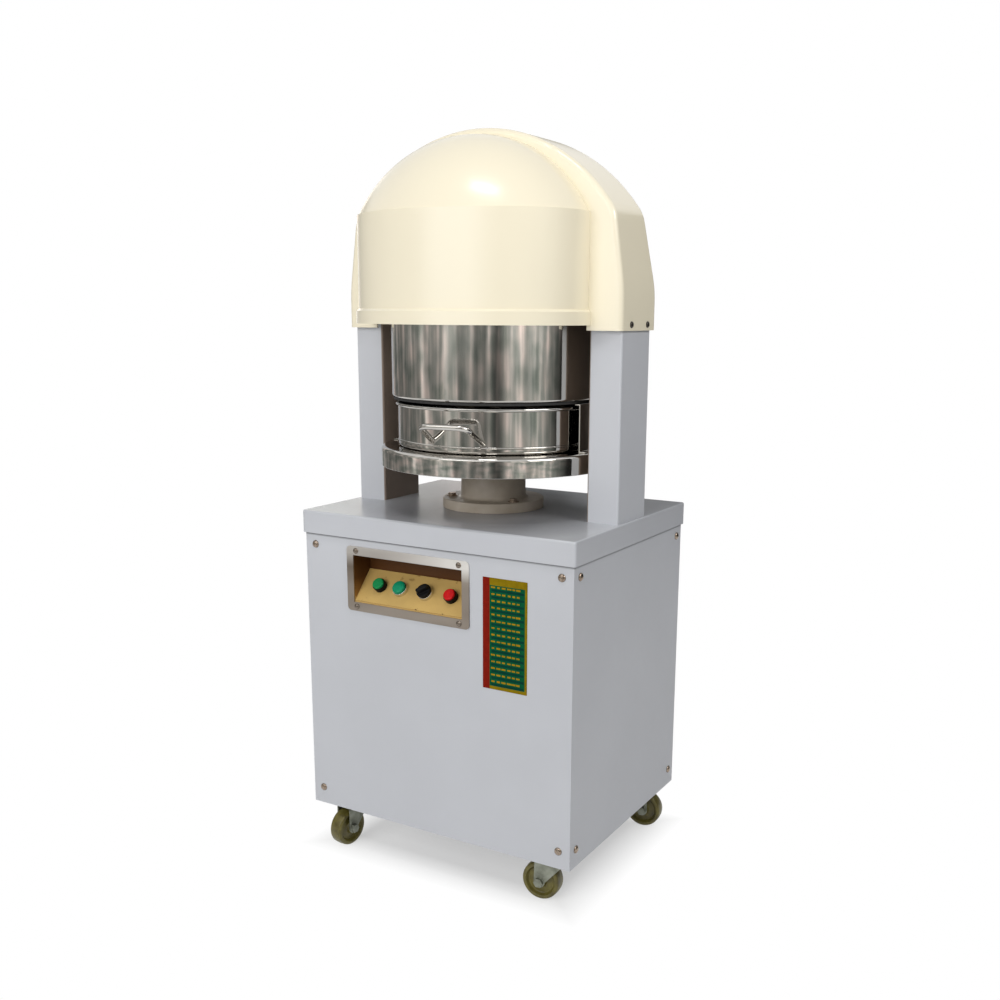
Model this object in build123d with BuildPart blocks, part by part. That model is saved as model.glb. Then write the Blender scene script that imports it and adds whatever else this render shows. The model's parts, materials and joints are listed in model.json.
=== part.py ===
from build123d import *
import os
from math import cos, radians, sin, sqrt

# Electric dough divider. Millimetres, +Z up, origin on the floor under the worktop's centre.
# The operator stands at -Y. A press head on two lift rods comes down through a fixed drum into a
# round pan, and 36 press segments hold the dough while the knife grid cuts it into 36 equal pieces.

os.makedirs("parts", exist_ok=True)

# Cabinet
caster_height = 92.0
cabinet_height = 607.0
worktop_side = 6.0
worktop_depth = 480.0
worktop_rim = 44.0
worktop_sheet = 2.0
worktop_corner = 5.0
worktop_edge = 3.0
panel_inset = 4.6
panel_sheet = 1.5
panel_top_gap = 2.0
base_sheet = 4.0
tube = 25.0
tube_wall = 2.5

# Panel screws
panel_screw_edge = 23.5
panel_screw_top = 66.0
panel_screw_low = 34.0
panel_screw_head = 14.0
panel_screw_dome = 4.0
panel_screw_shank = 6.0
panel_screw_length = 8.0
screw_clearance = 0.2

# Control recess
control_x = -55.0
control_top = 77.0
control_width = 247.0
control_opening = 92.0
control_depth = 51.0
control_back = 35.0
control_sheet = 1.5
control_gap = 0.5
button_plate_sheet = 2.0
button_plate_margin = 2.5
bezel_border_side = 15.5
bezel_border_top = 17.3
bezel_sheet = 2.5
bezel_corner = 8.0
bezel_screw_inset = 6.5
bezel_screw_head = 9.0
bezel_screw_dome = 2.6
bezel_screw_shank = 4.0
bezel_screw_length = 6.0
green_x = -78.0
lamp_x = -31.0
selector_x = 27.0
red_x = 85.0
switch_barrel = 11.0
switch_block = 30.0
switch_block_length = 36.0
switch_bore_clearance = 0.2
collar_radius = 13.0
collar_height = 11.4
ring_radius = 15.6
ring_height = 8.0
push_cap_radius = 11.5
lamp_cap_radius = 13.2
cap_clearance = 0.3
cap_floor = 1.0
button_travel = 4.0
cap_chamfer = 1.5
push_cap_top = 15.8
lamp_cap_top = 14.0
knob_stem = 12.0
knob_radius = 14.3
knob_disc = 6.0
knob_grip_width = 9.0
knob_grip_height = 9.0
knob_grip_inset = 3.0

# Chart plate
chart_gap = 28.5
chart_top = 83.0
chart_width = 92.0
chart_height = 207.0
chart_sheet = 0.6

# Posts and head plate
post_tray_gap = 1.5
post_width = 64.0
post_depth = 119.0
post_forward = 5.5
post_sheet = 2.0
post_bend = 4.0
post_height = 380.0
head_plate_sheet = 12.0
head_disc_over = 2.0

# Hood
hood_bottom = 346.0
hood_side_gap = 2.0
hood_front_over = 15.0
hood_rear_over = 13.0
hood_rear_lean = 20.0
hood_rear_round = 300.0
hood_upright = 72.0
hood_shoulder = 203.0
hood_lean = 18.0
hood_height = 355.0
hood_wall = 3.0
hood_edge = 10.0
wall_touch = 0.5
hood_lean_round = 300.0
hood_shoulder_round = 60.0
bulge_side_gap = 28.0
bulge_front_gap = 56.0
bulge_lift = 9.0
dome_step = 3.0
dome_drop = 12.0
lip_height = 27.0
lip_proud = 5.0
lip_round = 4.0
hood_screw_front = 39.0
hood_screw_rear = 29.5
hood_screw_up = 10.5
hood_screw_head = 12.0
hood_screw_dome = 4.0
hood_screw_shank = 6.0
hood_spacer = 11.0

# Drum and seal
drum_over_pan = 5.8
drum_bottom = 218.0
drum_sheet = 2.0
drum_curl = 6.0
drum_flange = 22.0
drum_flange_sheet = 3.0
drum_bolt_count = 8
drum_bolt_inset = 13.0
drum_bolt = 8.0
drum_bolt_head = 13.0
drum_bolt_head_height = 5.5
seal_height = 4.2
seal_inset = 3.0
seal_knife_gap = 3.0

# Tray, pedestal and rails
tray_beyond_pan = 28.3
tray_top = 124.0
tray_sheet = 2.5
tray_rim = 37.5
tray_round = 8.0
pedestal_x = -11.0
pedestal_flange_radius = 100.0
pedestal_flange = 19.0
pedestal_radius = 64.0
pedestal_bore = 50.0
pedestal_crown = 12.0
pedestal_fillet = 7.0
pedestal_chamfer = 2.0
pedestal_bolt_circle = 82.0
pedestal_bolt_count = 3
pedestal_bolt_turn = 90.0
pedestal_bolt = 10.0
pedestal_bolt_head = 17.0
pedestal_bolt_head_height = 6.4
pedestal_bolt_grip = 10.0
rail_sheet = 2.5
rail_web_gap = 3.5
rail_length = 100.0
rail_foot = 12.0
rail_knife_gap = 9.0
rail_top_gap = 2.0
rail_hole = 12.0

# Dough pan
pan_radius = 196.0
pan_height = 84.7
pan_wall = 2.0
pan_floor = 3.0
pan_round = 7.0
pan_rest_gap = 0.3
pan_rim_bead = 3.6
pan_rim_out = 0.6
pan_foot_bead = 2.2
pan_foot_bead_up = 13.0
handle_turn = 8.5
handle_rod = 11.0
handle_half_grip = 45.0
handle_half_foot = 50.0
handle_reach = 55.0
handle_rise = 28.5
handle_foot_up = 26.0
handle_bend = 18.0
handle_root = 12.0

# Press head
knife_rest_up = 6.0
knife_floor_gap = 1.5
knife_pan_gap = 8.0
knife_sheet = 2.0
knife_depth = 45.0
inner_cells = 6
middle_cells = 12
outer_cells = 18
segment_gap = 0.75
segment_lift = 2.0
segment_sheet = 10.0
segment_pin = 10.0
disc_gap = 3.0
disc_over_knives = 5.0
disc_sheet = 8.0
float_travel = 37.0
float_stop = 1.0
carrier_sheet = 8.0
carrier_window = 66.0
carrier_window_circle = 128.0
carrier_window_count = 6
guide_pin = 14.0
guide_pin_circle = 62.0
guide_pin_count = 3
guide_collar = 24.0
guide_collar_height = 8.0
seat_gap = 0.2
running_gap = 0.05
stem_radius = 25.0
rod_radius = 10.0
rod_inset = 26.0
rod_clearance = 2.0
bush_wall = 4.0
bush_flange = 6.0
bush_flange_sheet = 4.0
worktop_bush_height = 30.0
beam_gap = 3.0
beam_height = 38.0
beam_crown = 20.0
beam_depth = 70.0
beam_overhang = 16.0
rod_nut = 15.0
rod_nut_height = 12.0

# Drive in the cabinet
bridge_sheet = 12.0
bridge_depth = 160.0
housing_radius = 55.0
housing_height = 34.0
nut_hub_radius = 35.0
nut_pulley_radius = 80.0
nut_hub_clear = 2.0
pulley_width = 24.0
pulley_rim = 4.0
groove_depth = 9.0
belt_gap = 0.4
belt_proud = 1.0
motor_x = 150.0
motor_pulley_radius = 35.0
motor_shaft = 11.0
motor_radius = 62.0
motor_length = 172.0
motor_floor_gap = 39.0
motor_flange = 140.0
motor_flange_sheet = 12.0
motor_fin = 5.0
motor_fin_sheet = 4.0
motor_fin_count = 20
motor_box_length = 80.0
motor_box_height = 28.0
screw_radius = 18.0
screw_flange_radius = 36.0
screw_flange = 12.0
screw_tail = 20.0
crosshead_gap = 4.0
crosshead_height = 40.0
crosshead_depth = 64.0
contactor_side_gap = 3.9
contactor_rear_gap = 13.9
contactor_width = 150.0
contactor_depth = 110.0
contactor_height = 210.0
contactor_round = 8.0
gland_inset = 103.9
gland_up = 90.0
gland_radius = 14.0
gland_nut = 5.0
gland_neck = 9.0
gland_cap = 2.0
gland_reach = 16.0
gland_bore = 6.0

# Casters
caster_inset_x = 65.0
caster_inset_y = 52.0
caster_plate_length = 92.0
caster_plate_width = 66.0
caster_plate_sheet = 3.5
caster_plate_corner = 6.0
caster_bolt_dx = 72.0
caster_bolt_dy = 46.0
caster_bolt = 8.0
caster_bolt_head = 13.0
caster_bolt_head_height = 4.5
caster_bolt_short = 0.5
race_radius = 21.0
race_height = 5.0
king_pin = 6.0
king_head = 10.0
king_head_height = 3.0
caster_gap = 0.3
crown_radius = 26.0
crown_sheet = 4.0
fork_sheet = 3.0
fork_boss = 11.0
fork_shoulder = 29.0
trail = 19.0
wheel_radius = 37.5
wheel_width = 28.0
wheel_tread = 9.0
wheel_web = 14.0
wheel_round = 5.0
wheel_hub_radius = 13.0
wheel_hub_length = 30.4
axle_radius = 6.0
axle_head = 9.5
axle_head_height = 6.0
caster_headings = {"front_left": 264.0, "front_right": 185.0, "rear_left": 150.0, "rear_right": 6.0}

# Levels that follow from the sizes above
top_z = caster_height + cabinet_height
pan_rim_radius = pan_radius + pan_rim_out + pan_rim_bead
knife_radius = pan_radius - pan_wall - knife_pan_gap
drum_radius = pan_rim_radius + drum_over_pan
tray_radius = pan_rim_radius + tray_beyond_pan
post_inner = tray_radius + post_tray_gap
post_outer = post_inner + post_width
post_front = post_depth / 2 + post_forward
post_rear = post_depth / 2 - post_forward
rod_x = post_inner + rod_inset
worktop_width = 2 * (post_outer + worktop_side)
hood_half_width = post_outer + hood_side_gap + hood_wall
hood_front = post_front + hood_front_over
hood_rear = post_rear + hood_rear_over
bulge_half = drum_radius + bulge_side_gap
bulge_reach = drum_radius + bulge_front_gap
bulge_sides = ((-1, hood_front), (1, hood_rear))
frame_x = worktop_width / 2 - panel_inset - panel_sheet
frame_y = worktop_depth / 2 - panel_inset - panel_sheet
frame_low = caster_height + base_sheet
frame_high = top_z - worktop_sheet
panel_high = frame_high - panel_top_gap
panel_screw_x = frame_x + panel_sheet - panel_screw_edge
panel_screw_y = frame_y + panel_sheet - panel_screw_edge
head_low = top_z + post_height
head_high = head_low + head_plate_sheet
post_x = post_outer - post_width / 2
tray_z = top_z + tray_top
pan_z = tray_z + pan_rest_gap
pan_top = pan_z + pan_height
pan_floor_z = pan_z + pan_floor
drum_z = top_z + drum_bottom
knife_z = drum_z + knife_rest_up
press_travel = knife_z - pan_floor_z - knife_floor_gap
knife_high = knife_z + knife_depth
segment_z = knife_z + segment_lift
disc_z = knife_high + disc_over_knives
disc_high = disc_z + disc_sheet
carrier_z = disc_high + float_travel + float_stop
carrier_high = carrier_z + carrier_sheet
beam_z = head_high + press_travel + beam_gap
beam_high = beam_z + beam_height
bridge_z = frame_low + motor_floor_gap + motor_length + bridge_sheet
housing_high = bridge_z + housing_height
pulley_z = housing_high + nut_hub_clear
pulley_high = pulley_z + pulley_width
screw_flange_z = pulley_high + press_travel + crosshead_gap
crosshead_z = screw_flange_z + screw_flange
screw_tail_z = bridge_z - bridge_sheet - screw_tail
knife_inner = knife_radius - knife_sheet
ring_one = knife_inner * sqrt(inner_cells / (inner_cells + middle_cells + outer_cells))
ring_two = knife_inner * sqrt((inner_cells + middle_cells) / (inner_cells + middle_cells + outer_cells))
cell_zones = ((ring_two, knife_inner, outer_cells), (ring_one, ring_two, middle_cells),
              (0.0, ring_one, inner_cells))

# Outward faces of the cabinet, each with its local y axis pointing up
front_face = Plane(origin=(0, -frame_y - panel_sheet, 0), x_dir=(1, 0, 0), z_dir=(0, -1, 0))
rear_face = Plane(origin=(0, frame_y + panel_sheet, 0), x_dir=(-1, 0, 0), z_dir=(0, 1, 0))
right_face = Plane(origin=(frame_x + panel_sheet, 0, 0), x_dir=(0, 1, 0), z_dir=(1, 0, 0))
left_face = Plane(origin=(-frame_x - panel_sheet, 0, 0), x_dir=(0, -1, 0), z_dir=(-1, 0, 0))
screw_rows = (caster_height + panel_screw_low, top_z - panel_screw_top)
wide_spots = [(x, z) for x in (-panel_screw_x, panel_screw_x) for z in screw_rows]
side_spots = [(y, z) for y in (-panel_screw_y, panel_screw_y) for z in screw_rows]
screw_faces = ((front_face, wide_spots), (rear_face, wide_spots),
               (right_face, side_spots), (left_face, side_spots))
pedestal_bolt_angles = [radians(pedestal_bolt_turn + 360 * k / pedestal_bolt_count)
                        for k in range(pedestal_bolt_count)]
pedestal_bolt_spots = [(pedestal_x + pedestal_bolt_circle * cos(a), pedestal_bolt_circle * sin(a))
                       for a in pedestal_bolt_angles]
pedestal_rail_y = pedestal_bolt_circle * sin(radians(pedestal_bolt_turn))
rod_spots = [(-rod_x, 0), (rod_x, 0)]


def tube_section():
    """Draw one square tube section at each active location."""
    Rectangle(tube, tube)
    Rectangle(tube - 2 * tube_wall, tube - 2 * tube_wall, mode=Mode.SUBTRACT)


def disc_between(radius, low, high, mode=Mode.ADD):
    """Upright cylinder about the machine's centre line."""
    with BuildSketch(Plane.XY.offset(low)) as outline:
        Circle(radius)
    extrude(outline.sketch, amount=high - low, mode=mode)


def round_pins(plane, spots, radius, length, mode=Mode.ADD):
    """Equal cylinders standing on a plane."""
    with BuildSketch(plane) as outline:
        with Locations(*spots):
            Circle(radius)
    extrude(outline.sketch, amount=length, mode=mode)


def dome_screws(plane, spots, head, dome, shank, length):
    """Screws with a flattened dome head on the plane and a plain shank behind it."""
    with BuildSketch(plane) as outline:
        with Locations(*spots):
            Circle(head / 2)
    extrude(outline.sketch, amount=dome, taper=30)
    round_pins(plane, spots, shank / 2, -length)


# Welded tube frame: corner posts, top and bottom rails, pedestal rails and rails under the bridge
with BuildPart() as base_frame:
    with BuildSketch(Plane.XY.offset(frame_low)):
        with GridLocations(2 * frame_x - tube, 2 * frame_y - tube, 2, 2):
            tube_section()
    extrude(amount=frame_high - frame_low)
    rail_levels = (frame_low + tube / 2, frame_high - tube / 2)
    with BuildSketch(Plane.YZ.offset(tube - frame_x)):
        with Locations(*[(y, z) for y in (tube / 2 - frame_y, frame_y - tube / 2) for z in rail_levels]):
            tube_section()
        with Locations((-pedestal_rail_y, rail_levels[1]), (pedestal_rail_y, rail_levels[1])):
            tube_section()
    extrude(amount=2 * (frame_x - tube))
    bridge_rail = bridge_z - bridge_sheet - tube / 2
    with BuildSketch(Plane.XZ.offset(frame_y - tube)):
        with Locations(*[(x, z) for x in (tube / 2 - frame_x, frame_x - tube / 2)
                         for z in rail_levels + (bridge_rail,)]):
            tube_section()
    extrude(amount=-2 * (frame_y - tube))
    for face, spots in screw_faces:
        round_pins(face, spots, panel_screw_shank / 2 + screw_clearance,
                   -panel_sheet - panel_screw_length, Mode.SUBTRACT)
    round_pins(Plane.XY.offset(top_z), pedestal_bolt_spots, pedestal_bolt / 2 + screw_clearance,
               -worktop_sheet - pedestal_bolt_grip, Mode.SUBTRACT)
base_frame.part.label = "base_frame"
export_step(base_frame.part, "parts/base_frame.step")

# Base plate with the holes for the caster bolts
caster_x = worktop_width / 2 - caster_inset_x
caster_y = worktop_depth / 2 - caster_inset_y
caster_spots = {"front_left": (-caster_x, -caster_y), "front_right": (caster_x, -caster_y),
                "rear_left": (-caster_x, caster_y), "rear_right": (caster_x, caster_y)}
caster_bolt_spots = [(x + dx, y + dy) for x, y in caster_spots.values()
                     for dx in (-caster_bolt_dx / 2, caster_bolt_dx / 2)
                     for dy in (-caster_bolt_dy / 2, caster_bolt_dy / 2)]
with BuildPart() as base_plate:
    with BuildSketch(Plane.XY.offset(caster_height)):
        Rectangle(2 * frame_x, 2 * frame_y)
        with Locations(*caster_bolt_spots):
            Circle(caster_bolt / 2 + screw_clearance, mode=Mode.SUBTRACT)
    extrude(amount=base_sheet)
base_plate.part.label = "base_plate"
export_step(base_plate.part, "parts/base_plate.step")

# Control recess profile in the YZ plane: roof, back wall, and a slope that comes forward to the sill
face_y = -frame_y - panel_sheet
recess_top = top_z - control_top
recess_sill = recess_top - control_opening
recess_back = face_y + control_depth
slope_top = recess_top - control_back
slope_run = control_depth
slope_fall = slope_top - recess_sill
slope_length = sqrt(slope_run ** 2 + slope_fall ** 2)
recess_points = [(face_y, recess_top), (recess_back, recess_top), (recess_back, slope_top),
                 (face_y, recess_sill)]
slope_plane = Plane(origin=(control_x, face_y + slope_run / 2, recess_sill + slope_fall / 2),
                    x_dir=(1, 0, 0), z_dir=(0, -slope_fall, slope_run))
recess_mid = (recess_top + recess_sill) / 2
switch_spots = [(green_x, 0), (lamp_x, 0), (selector_x, 0), (red_x, 0)]
bezel_width = control_width + 2 * bezel_border_side
bezel_height = control_opening + 2 * bezel_border_top
bezel_spots = [(control_x + sx * (control_width / 2 - bezel_screw_inset),
                recess_mid + sz * (control_opening / 2 + bezel_border_top / 2))
               for sx in (-1, 1) for sz in (-1, 1)]

# Four flat cabinet panels. The front one is cut out for the control box.
with BuildPart() as front_panel:
    with BuildSketch(front_face):
        with Locations((0, (caster_height + panel_high) / 2)):
            Rectangle(2 * (frame_x + panel_sheet), panel_high - caster_height)
        with Locations((control_x, recess_mid)):
            Rectangle(control_width + 2 * (control_sheet + control_gap),
                      control_opening + 4 * (control_sheet + control_gap), mode=Mode.SUBTRACT)
        with Locations(*wide_spots):
            Circle(panel_screw_shank / 2 + screw_clearance, mode=Mode.SUBTRACT)
        with Locations(*bezel_spots):
            Circle(bezel_screw_shank / 2 + screw_clearance, mode=Mode.SUBTRACT)
    extrude(amount=-panel_sheet)
front_panel.part.label = "front_panel"
export_step(front_panel.part, "parts/front_panel.step")

gland_spot = [(gland_inset - frame_x, caster_height + gland_up)]
with BuildPart() as rear_panel:
    with BuildSketch(rear_face):
        with Locations((0, (caster_height + panel_high) / 2)):
            Rectangle(2 * (frame_x + panel_sheet), panel_high - caster_height)
        with Locations(*wide_spots):
            Circle(panel_screw_shank / 2 + screw_clearance, mode=Mode.SUBTRACT)
        with Locations(*gland_spot):
            Circle(gland_neck + screw_clearance, mode=Mode.SUBTRACT)
    extrude(amount=-panel_sheet)
rear_panel.part.label = "rear_panel"
export_step(rear_panel.part, "parts/rear_panel.step")

for panel_name, panel_face in (("left_panel", left_face), ("right_panel", right_face)):
    with BuildPart() as side_panel:
        with BuildSketch(panel_face):
            with Locations((0, (caster_height + panel_high) / 2)):
                Rectangle(2 * frame_y, panel_high - caster_height)
            with Locations(*side_spots):
                Circle(panel_screw_shank / 2 + screw_clearance, mode=Mode.SUBTRACT)
        extrude(amount=-panel_sheet)
    side_panel.part.label = panel_name
    export_step(side_panel.part, f"parts/{panel_name}.step")

with BuildPart() as panel_screws:
    for face, spots in screw_faces:
        dome_screws(face, spots, panel_screw_head, panel_screw_dome, panel_screw_shank,
                    panel_sheet + panel_screw_length)
panel_screws.part.label = "panel_screws"
export_step(panel_screws.part, "parts/panel_screws.step")

# Worktop: one sheet folded down all round
with BuildPart() as worktop:
    with BuildSketch(Plane.XY.offset(top_z)):
        RectangleRounded(worktop_width, worktop_depth, worktop_corner)
    extrude(amount=-worktop_rim)
    fillet(worktop.faces().sort_by(Axis.Z)[-1].edges(), worktop_edge)
    with BuildSketch(Plane.XY.offset(top_z - worktop_sheet)):
        Rectangle(worktop_width - 2 * worktop_sheet, worktop_depth - 2 * worktop_sheet)
    extrude(amount=-worktop_rim, mode=Mode.SUBTRACT)
    round_pins(Plane.XY.offset(top_z), rod_spots, rod_radius + rod_clearance, -worktop_sheet, Mode.SUBTRACT)
    round_pins(Plane.XY.offset(top_z), pedestal_bolt_spots, pedestal_bolt / 2 + screw_clearance,
               -worktop_sheet, Mode.SUBTRACT)
worktop.part.label = "worktop"
export_step(worktop.part, "parts/worktop.step")

# Control box: bent sheet round the recess, open to the front
with BuildPart() as control_box:
    with BuildSketch(Plane.YZ.offset(control_x - control_width / 2 - control_sheet)):
        with BuildLine():
            Polyline(*recess_points, close=True)
        make_face()
        offset(amount=control_sheet, kind=Kind.INTERSECTION)
        with Locations((face_y - control_depth / 2, recess_mid)):
            Rectangle(control_depth, 2 * control_opening, mode=Mode.SUBTRACT)
    extrude(amount=control_width + 2 * control_sheet)
    with BuildSketch(Plane.YZ.offset(control_x - control_width / 2)):
        with BuildLine():
            Polyline(*recess_points, close=True)
        make_face()
    extrude(amount=control_width, mode=Mode.SUBTRACT)
    round_pins(slope_plane, switch_spots, switch_barrel + switch_bore_clearance, -2 * control_sheet,
               Mode.SUBTRACT)
control_box.part.label = "control_box"
export_step(control_box.part, "parts/control_box.step")

# Button plate on the slope, bored for the four switches
with BuildPart() as button_plate:
    with BuildSketch(slope_plane):
        Rectangle(control_width - 2 * control_gap, slope_length - 2 * button_plate_margin)
        with Locations(*switch_spots):
            Circle(switch_barrel + switch_bore_clearance, mode=Mode.SUBTRACT)
    extrude(amount=button_plate_sheet)
button_plate.part.label = "button_plate"
export_step(button_plate.part, "parts/button_plate.step")

with BuildPart() as control_bezel:
    with BuildSketch(front_face):
        with Locations((control_x, recess_mid)):
            RectangleRounded(bezel_width, bezel_height, bezel_corner)
            Rectangle(control_width, control_opening, mode=Mode.SUBTRACT)
        with Locations(*bezel_spots):
            Circle(bezel_screw_shank / 2 + screw_clearance, mode=Mode.SUBTRACT)
    extrude(amount=bezel_sheet)
control_bezel.part.label = "control_bezel"
export_step(control_bezel.part, "parts/control_bezel.step")

with BuildPart() as bezel_screws:
    dome_screws(front_face.offset(bezel_sheet), bezel_spots, bezel_screw_head, bezel_screw_dome,
                bezel_screw_shank, bezel_sheet + bezel_screw_length)
bezel_screws.part.label = "bezel_screws"
export_step(bezel_screws.part, "parts/bezel_screws.step")

# Switch bodies behind the plate. The two push buttons have a black collar in one piece with the body.
plate_face = slope_plane.offset(button_plate_sheet)
push_spots = [(green_x, 0), (red_x, 0)]
ring_spots = [(lamp_x, 0), (selector_x, 0)]
with BuildPart() as switch_bodies:
    with BuildSketch(slope_plane.offset(-control_sheet)):
        with Locations(*switch_spots):
            Rectangle(switch_block, switch_block)
    extrude(amount=-switch_block_length)
    round_pins(slope_plane.offset(-control_sheet), switch_spots, switch_barrel,
               control_sheet + button_plate_sheet + cap_floor)
    round_pins(plate_face, push_spots, collar_radius, collar_height)
    round_pins(plate_face.offset(cap_floor), push_spots, push_cap_radius + cap_clearance,
               collar_height, Mode.SUBTRACT)
switch_bodies.part.label = "switch_bodies"
export_step(switch_bodies.part, "parts/switch_bodies.step")

with BuildPart() as chrome_rings:
    with BuildSketch(plate_face):
        with Locations(*ring_spots):
            Circle(ring_radius)
            Circle(lamp_cap_radius + cap_clearance, mode=Mode.SUBTRACT)
    extrude(amount=ring_height, taper=8)
    round_pins(plate_face, ring_spots, lamp_cap_radius + cap_clearance, ring_height, Mode.SUBTRACT)
chrome_rings.part.label = "chrome_rings"
export_step(chrome_rings.part, "parts/chrome_rings.step")

# Caps slide in their collars by the button travel
cap_low = cap_floor + button_travel + cap_clearance
for cap_name, cap_x, cap_radius, cap_top in (("green_button", green_x, push_cap_radius, push_cap_top),
                                             ("red_button", red_x, push_cap_radius, push_cap_top),
                                             ("lamp_button", lamp_x, lamp_cap_radius, lamp_cap_top)):
    with BuildPart() as cap:
        round_pins(plate_face.offset(cap_low), [(cap_x, 0)], cap_radius, cap_top - cap_low)
        chamfer(cap.faces().sort_by(Axis((0, 0, 0), slope_plane.z_dir))[-1].edges(), cap_chamfer)
    cap.part.label = cap_name
    export_step(cap.part, f"parts/{cap_name}.step")

with BuildPart() as selector_knob:
    knob_low = cap_floor + cap_clearance
    knob_face = ring_height + cap_clearance
    round_pins(plate_face.offset(knob_low), [(selector_x, 0)], knob_stem, knob_face - knob_low)
    round_pins(plate_face.offset(knob_face), [(selector_x, 0)], knob_radius, knob_disc)
    with BuildSketch(plate_face.offset(knob_face + knob_disc)):
        with Locations((selector_x, 0)):
            SlotOverall(2 * knob_radius - knob_grip_inset, knob_grip_width, rotation=35)
    extrude(amount=knob_grip_height, taper=6)
selector_knob.part.label = "selector_knob"
export_step(selector_knob.part, "parts/selector_knob.step")

with BuildPart() as weight_chart:
    chart_x = control_x + bezel_width / 2 + chart_gap + chart_width / 2
    with BuildSketch(front_face):
        with Locations((chart_x, top_z - chart_top - chart_height / 2)):
            Rectangle(chart_width, chart_height)
    extrude(amount=chart_sheet)
weight_chart.part.label = "weight_chart"
export_step(weight_chart.part, "parts/weight_chart.step")

# Posts: folded sheet boxes that stand on the worktop and carry the head plate
hood_screw_z = top_z + hood_bottom + hood_screw_up
hood_screw_spots = [(-hood_screw_front, hood_screw_z), (hood_screw_rear, hood_screw_z)]
for post_name, side in (("left_post", -1), ("right_post", 1)):
    with BuildPart() as post:
        with BuildSketch(Plane.XY.offset(top_z)):
            with Locations((side * post_x, -post_forward)):
                RectangleRounded(post_width, post_depth, post_bend)
                Rectangle(post_width - 2 * post_sheet, post_depth - 2 * post_sheet, mode=Mode.SUBTRACT)
        extrude(amount=post_height)
        round_pins(Plane.YZ.offset(side * post_outer), hood_screw_spots,
                   hood_screw_shank / 2 + screw_clearance, -side * 2 * post_sheet, Mode.SUBTRACT)
    post.part.label = post_name
    export_step(post.part, f"parts/{post_name}.step")

# Head plate across the posts, with a round middle that carries the drum
bush_radius = rod_radius + running_gap + bush_wall
stem_bush_radius = stem_radius + running_gap + bush_wall
drum_bolt_circle = drum_radius - drum_sheet - drum_bolt_inset
with BuildPart() as head_plate:
    with BuildSketch(Plane.XY.offset(head_low)):
        with Locations((0, -post_forward)):
            Rectangle(2 * post_outer, post_depth)
        Circle(drum_radius + head_disc_over)
        with Locations(*rod_spots):
            Circle(bush_radius, mode=Mode.SUBTRACT)
        Circle(stem_bush_radius, mode=Mode.SUBTRACT)
        with PolarLocations(drum_bolt_circle, drum_bolt_count, start_angle=180 / drum_bolt_count):
            Circle(drum_bolt / 2 + screw_clearance, mode=Mode.SUBTRACT)
    extrude(amount=head_plate_sheet)
head_plate.part.label = "head_plate"
export_step(head_plate.part, "parts/head_plate.step")

# Drum: polished skirt with a curled lower edge and an inward top flange
skirt_inner = drum_radius - drum_sheet
flange_inner = skirt_inner - drum_flange
with BuildPart() as drum:
    with BuildSketch(Plane.XZ):
        with BuildLine():
            Polyline((drum_radius, drum_z + drum_curl), (drum_radius, head_low), (flange_inner, head_low),
                     (flange_inner, head_low - drum_flange_sheet), (skirt_inner, head_low - drum_flange_sheet),
                     (skirt_inner, drum_z + drum_curl))
            RadiusArc((skirt_inner, drum_z + drum_curl), (drum_radius - drum_curl, drum_z + drum_sheet),
                      drum_curl - drum_sheet)
            Line((drum_radius - drum_curl, drum_z + drum_sheet), (drum_radius - drum_curl, drum_z))
            RadiusArc((drum_radius - drum_curl, drum_z), (drum_radius, drum_z + drum_curl), -drum_curl)
        make_face()
    revolve(axis=Axis.Z)
    with BuildSketch(Plane.XY.offset(head_low)):
        with PolarLocations(drum_bolt_circle, drum_bolt_count, start_angle=180 / drum_bolt_count):
            Circle(drum_bolt / 2 + screw_clearance)
    extrude(amount=-drum_flange_sheet, mode=Mode.SUBTRACT)
drum.part.label = "drum"
export_step(drum.part, "parts/drum.step")

with BuildPart() as head_bolts:
    with BuildSketch(Plane.XY.offset(head_low - drum_flange_sheet)):
        with PolarLocations(drum_bolt_circle, drum_bolt_count, start_angle=180 / drum_bolt_count):
            RegularPolygon(drum_bolt_head / 2, 6)
    extrude(amount=-drum_bolt_head_height)
    with BuildSketch(Plane.XY.offset(head_low - drum_flange_sheet)):
        with PolarLocations(drum_bolt_circle, drum_bolt_count, start_angle=180 / drum_bolt_count):
            Circle(drum_bolt / 2)
    extrude(amount=drum_flange_sheet + head_plate_sheet)
head_bolts.part.label = "head_bolts"
export_step(head_bolts.part, "parts/head_bolts.step")

with BuildPart() as drum_seal:
    with BuildSketch(Plane.XY.offset(drum_z)):
        Circle(drum_radius - seal_inset)
        Circle(knife_radius + seal_knife_gap, mode=Mode.SUBTRACT)
    extrude(amount=-seal_height)
drum_seal.part.label = "drum_seal"
export_step(drum_seal.part, "parts/drum_seal.step")


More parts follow.
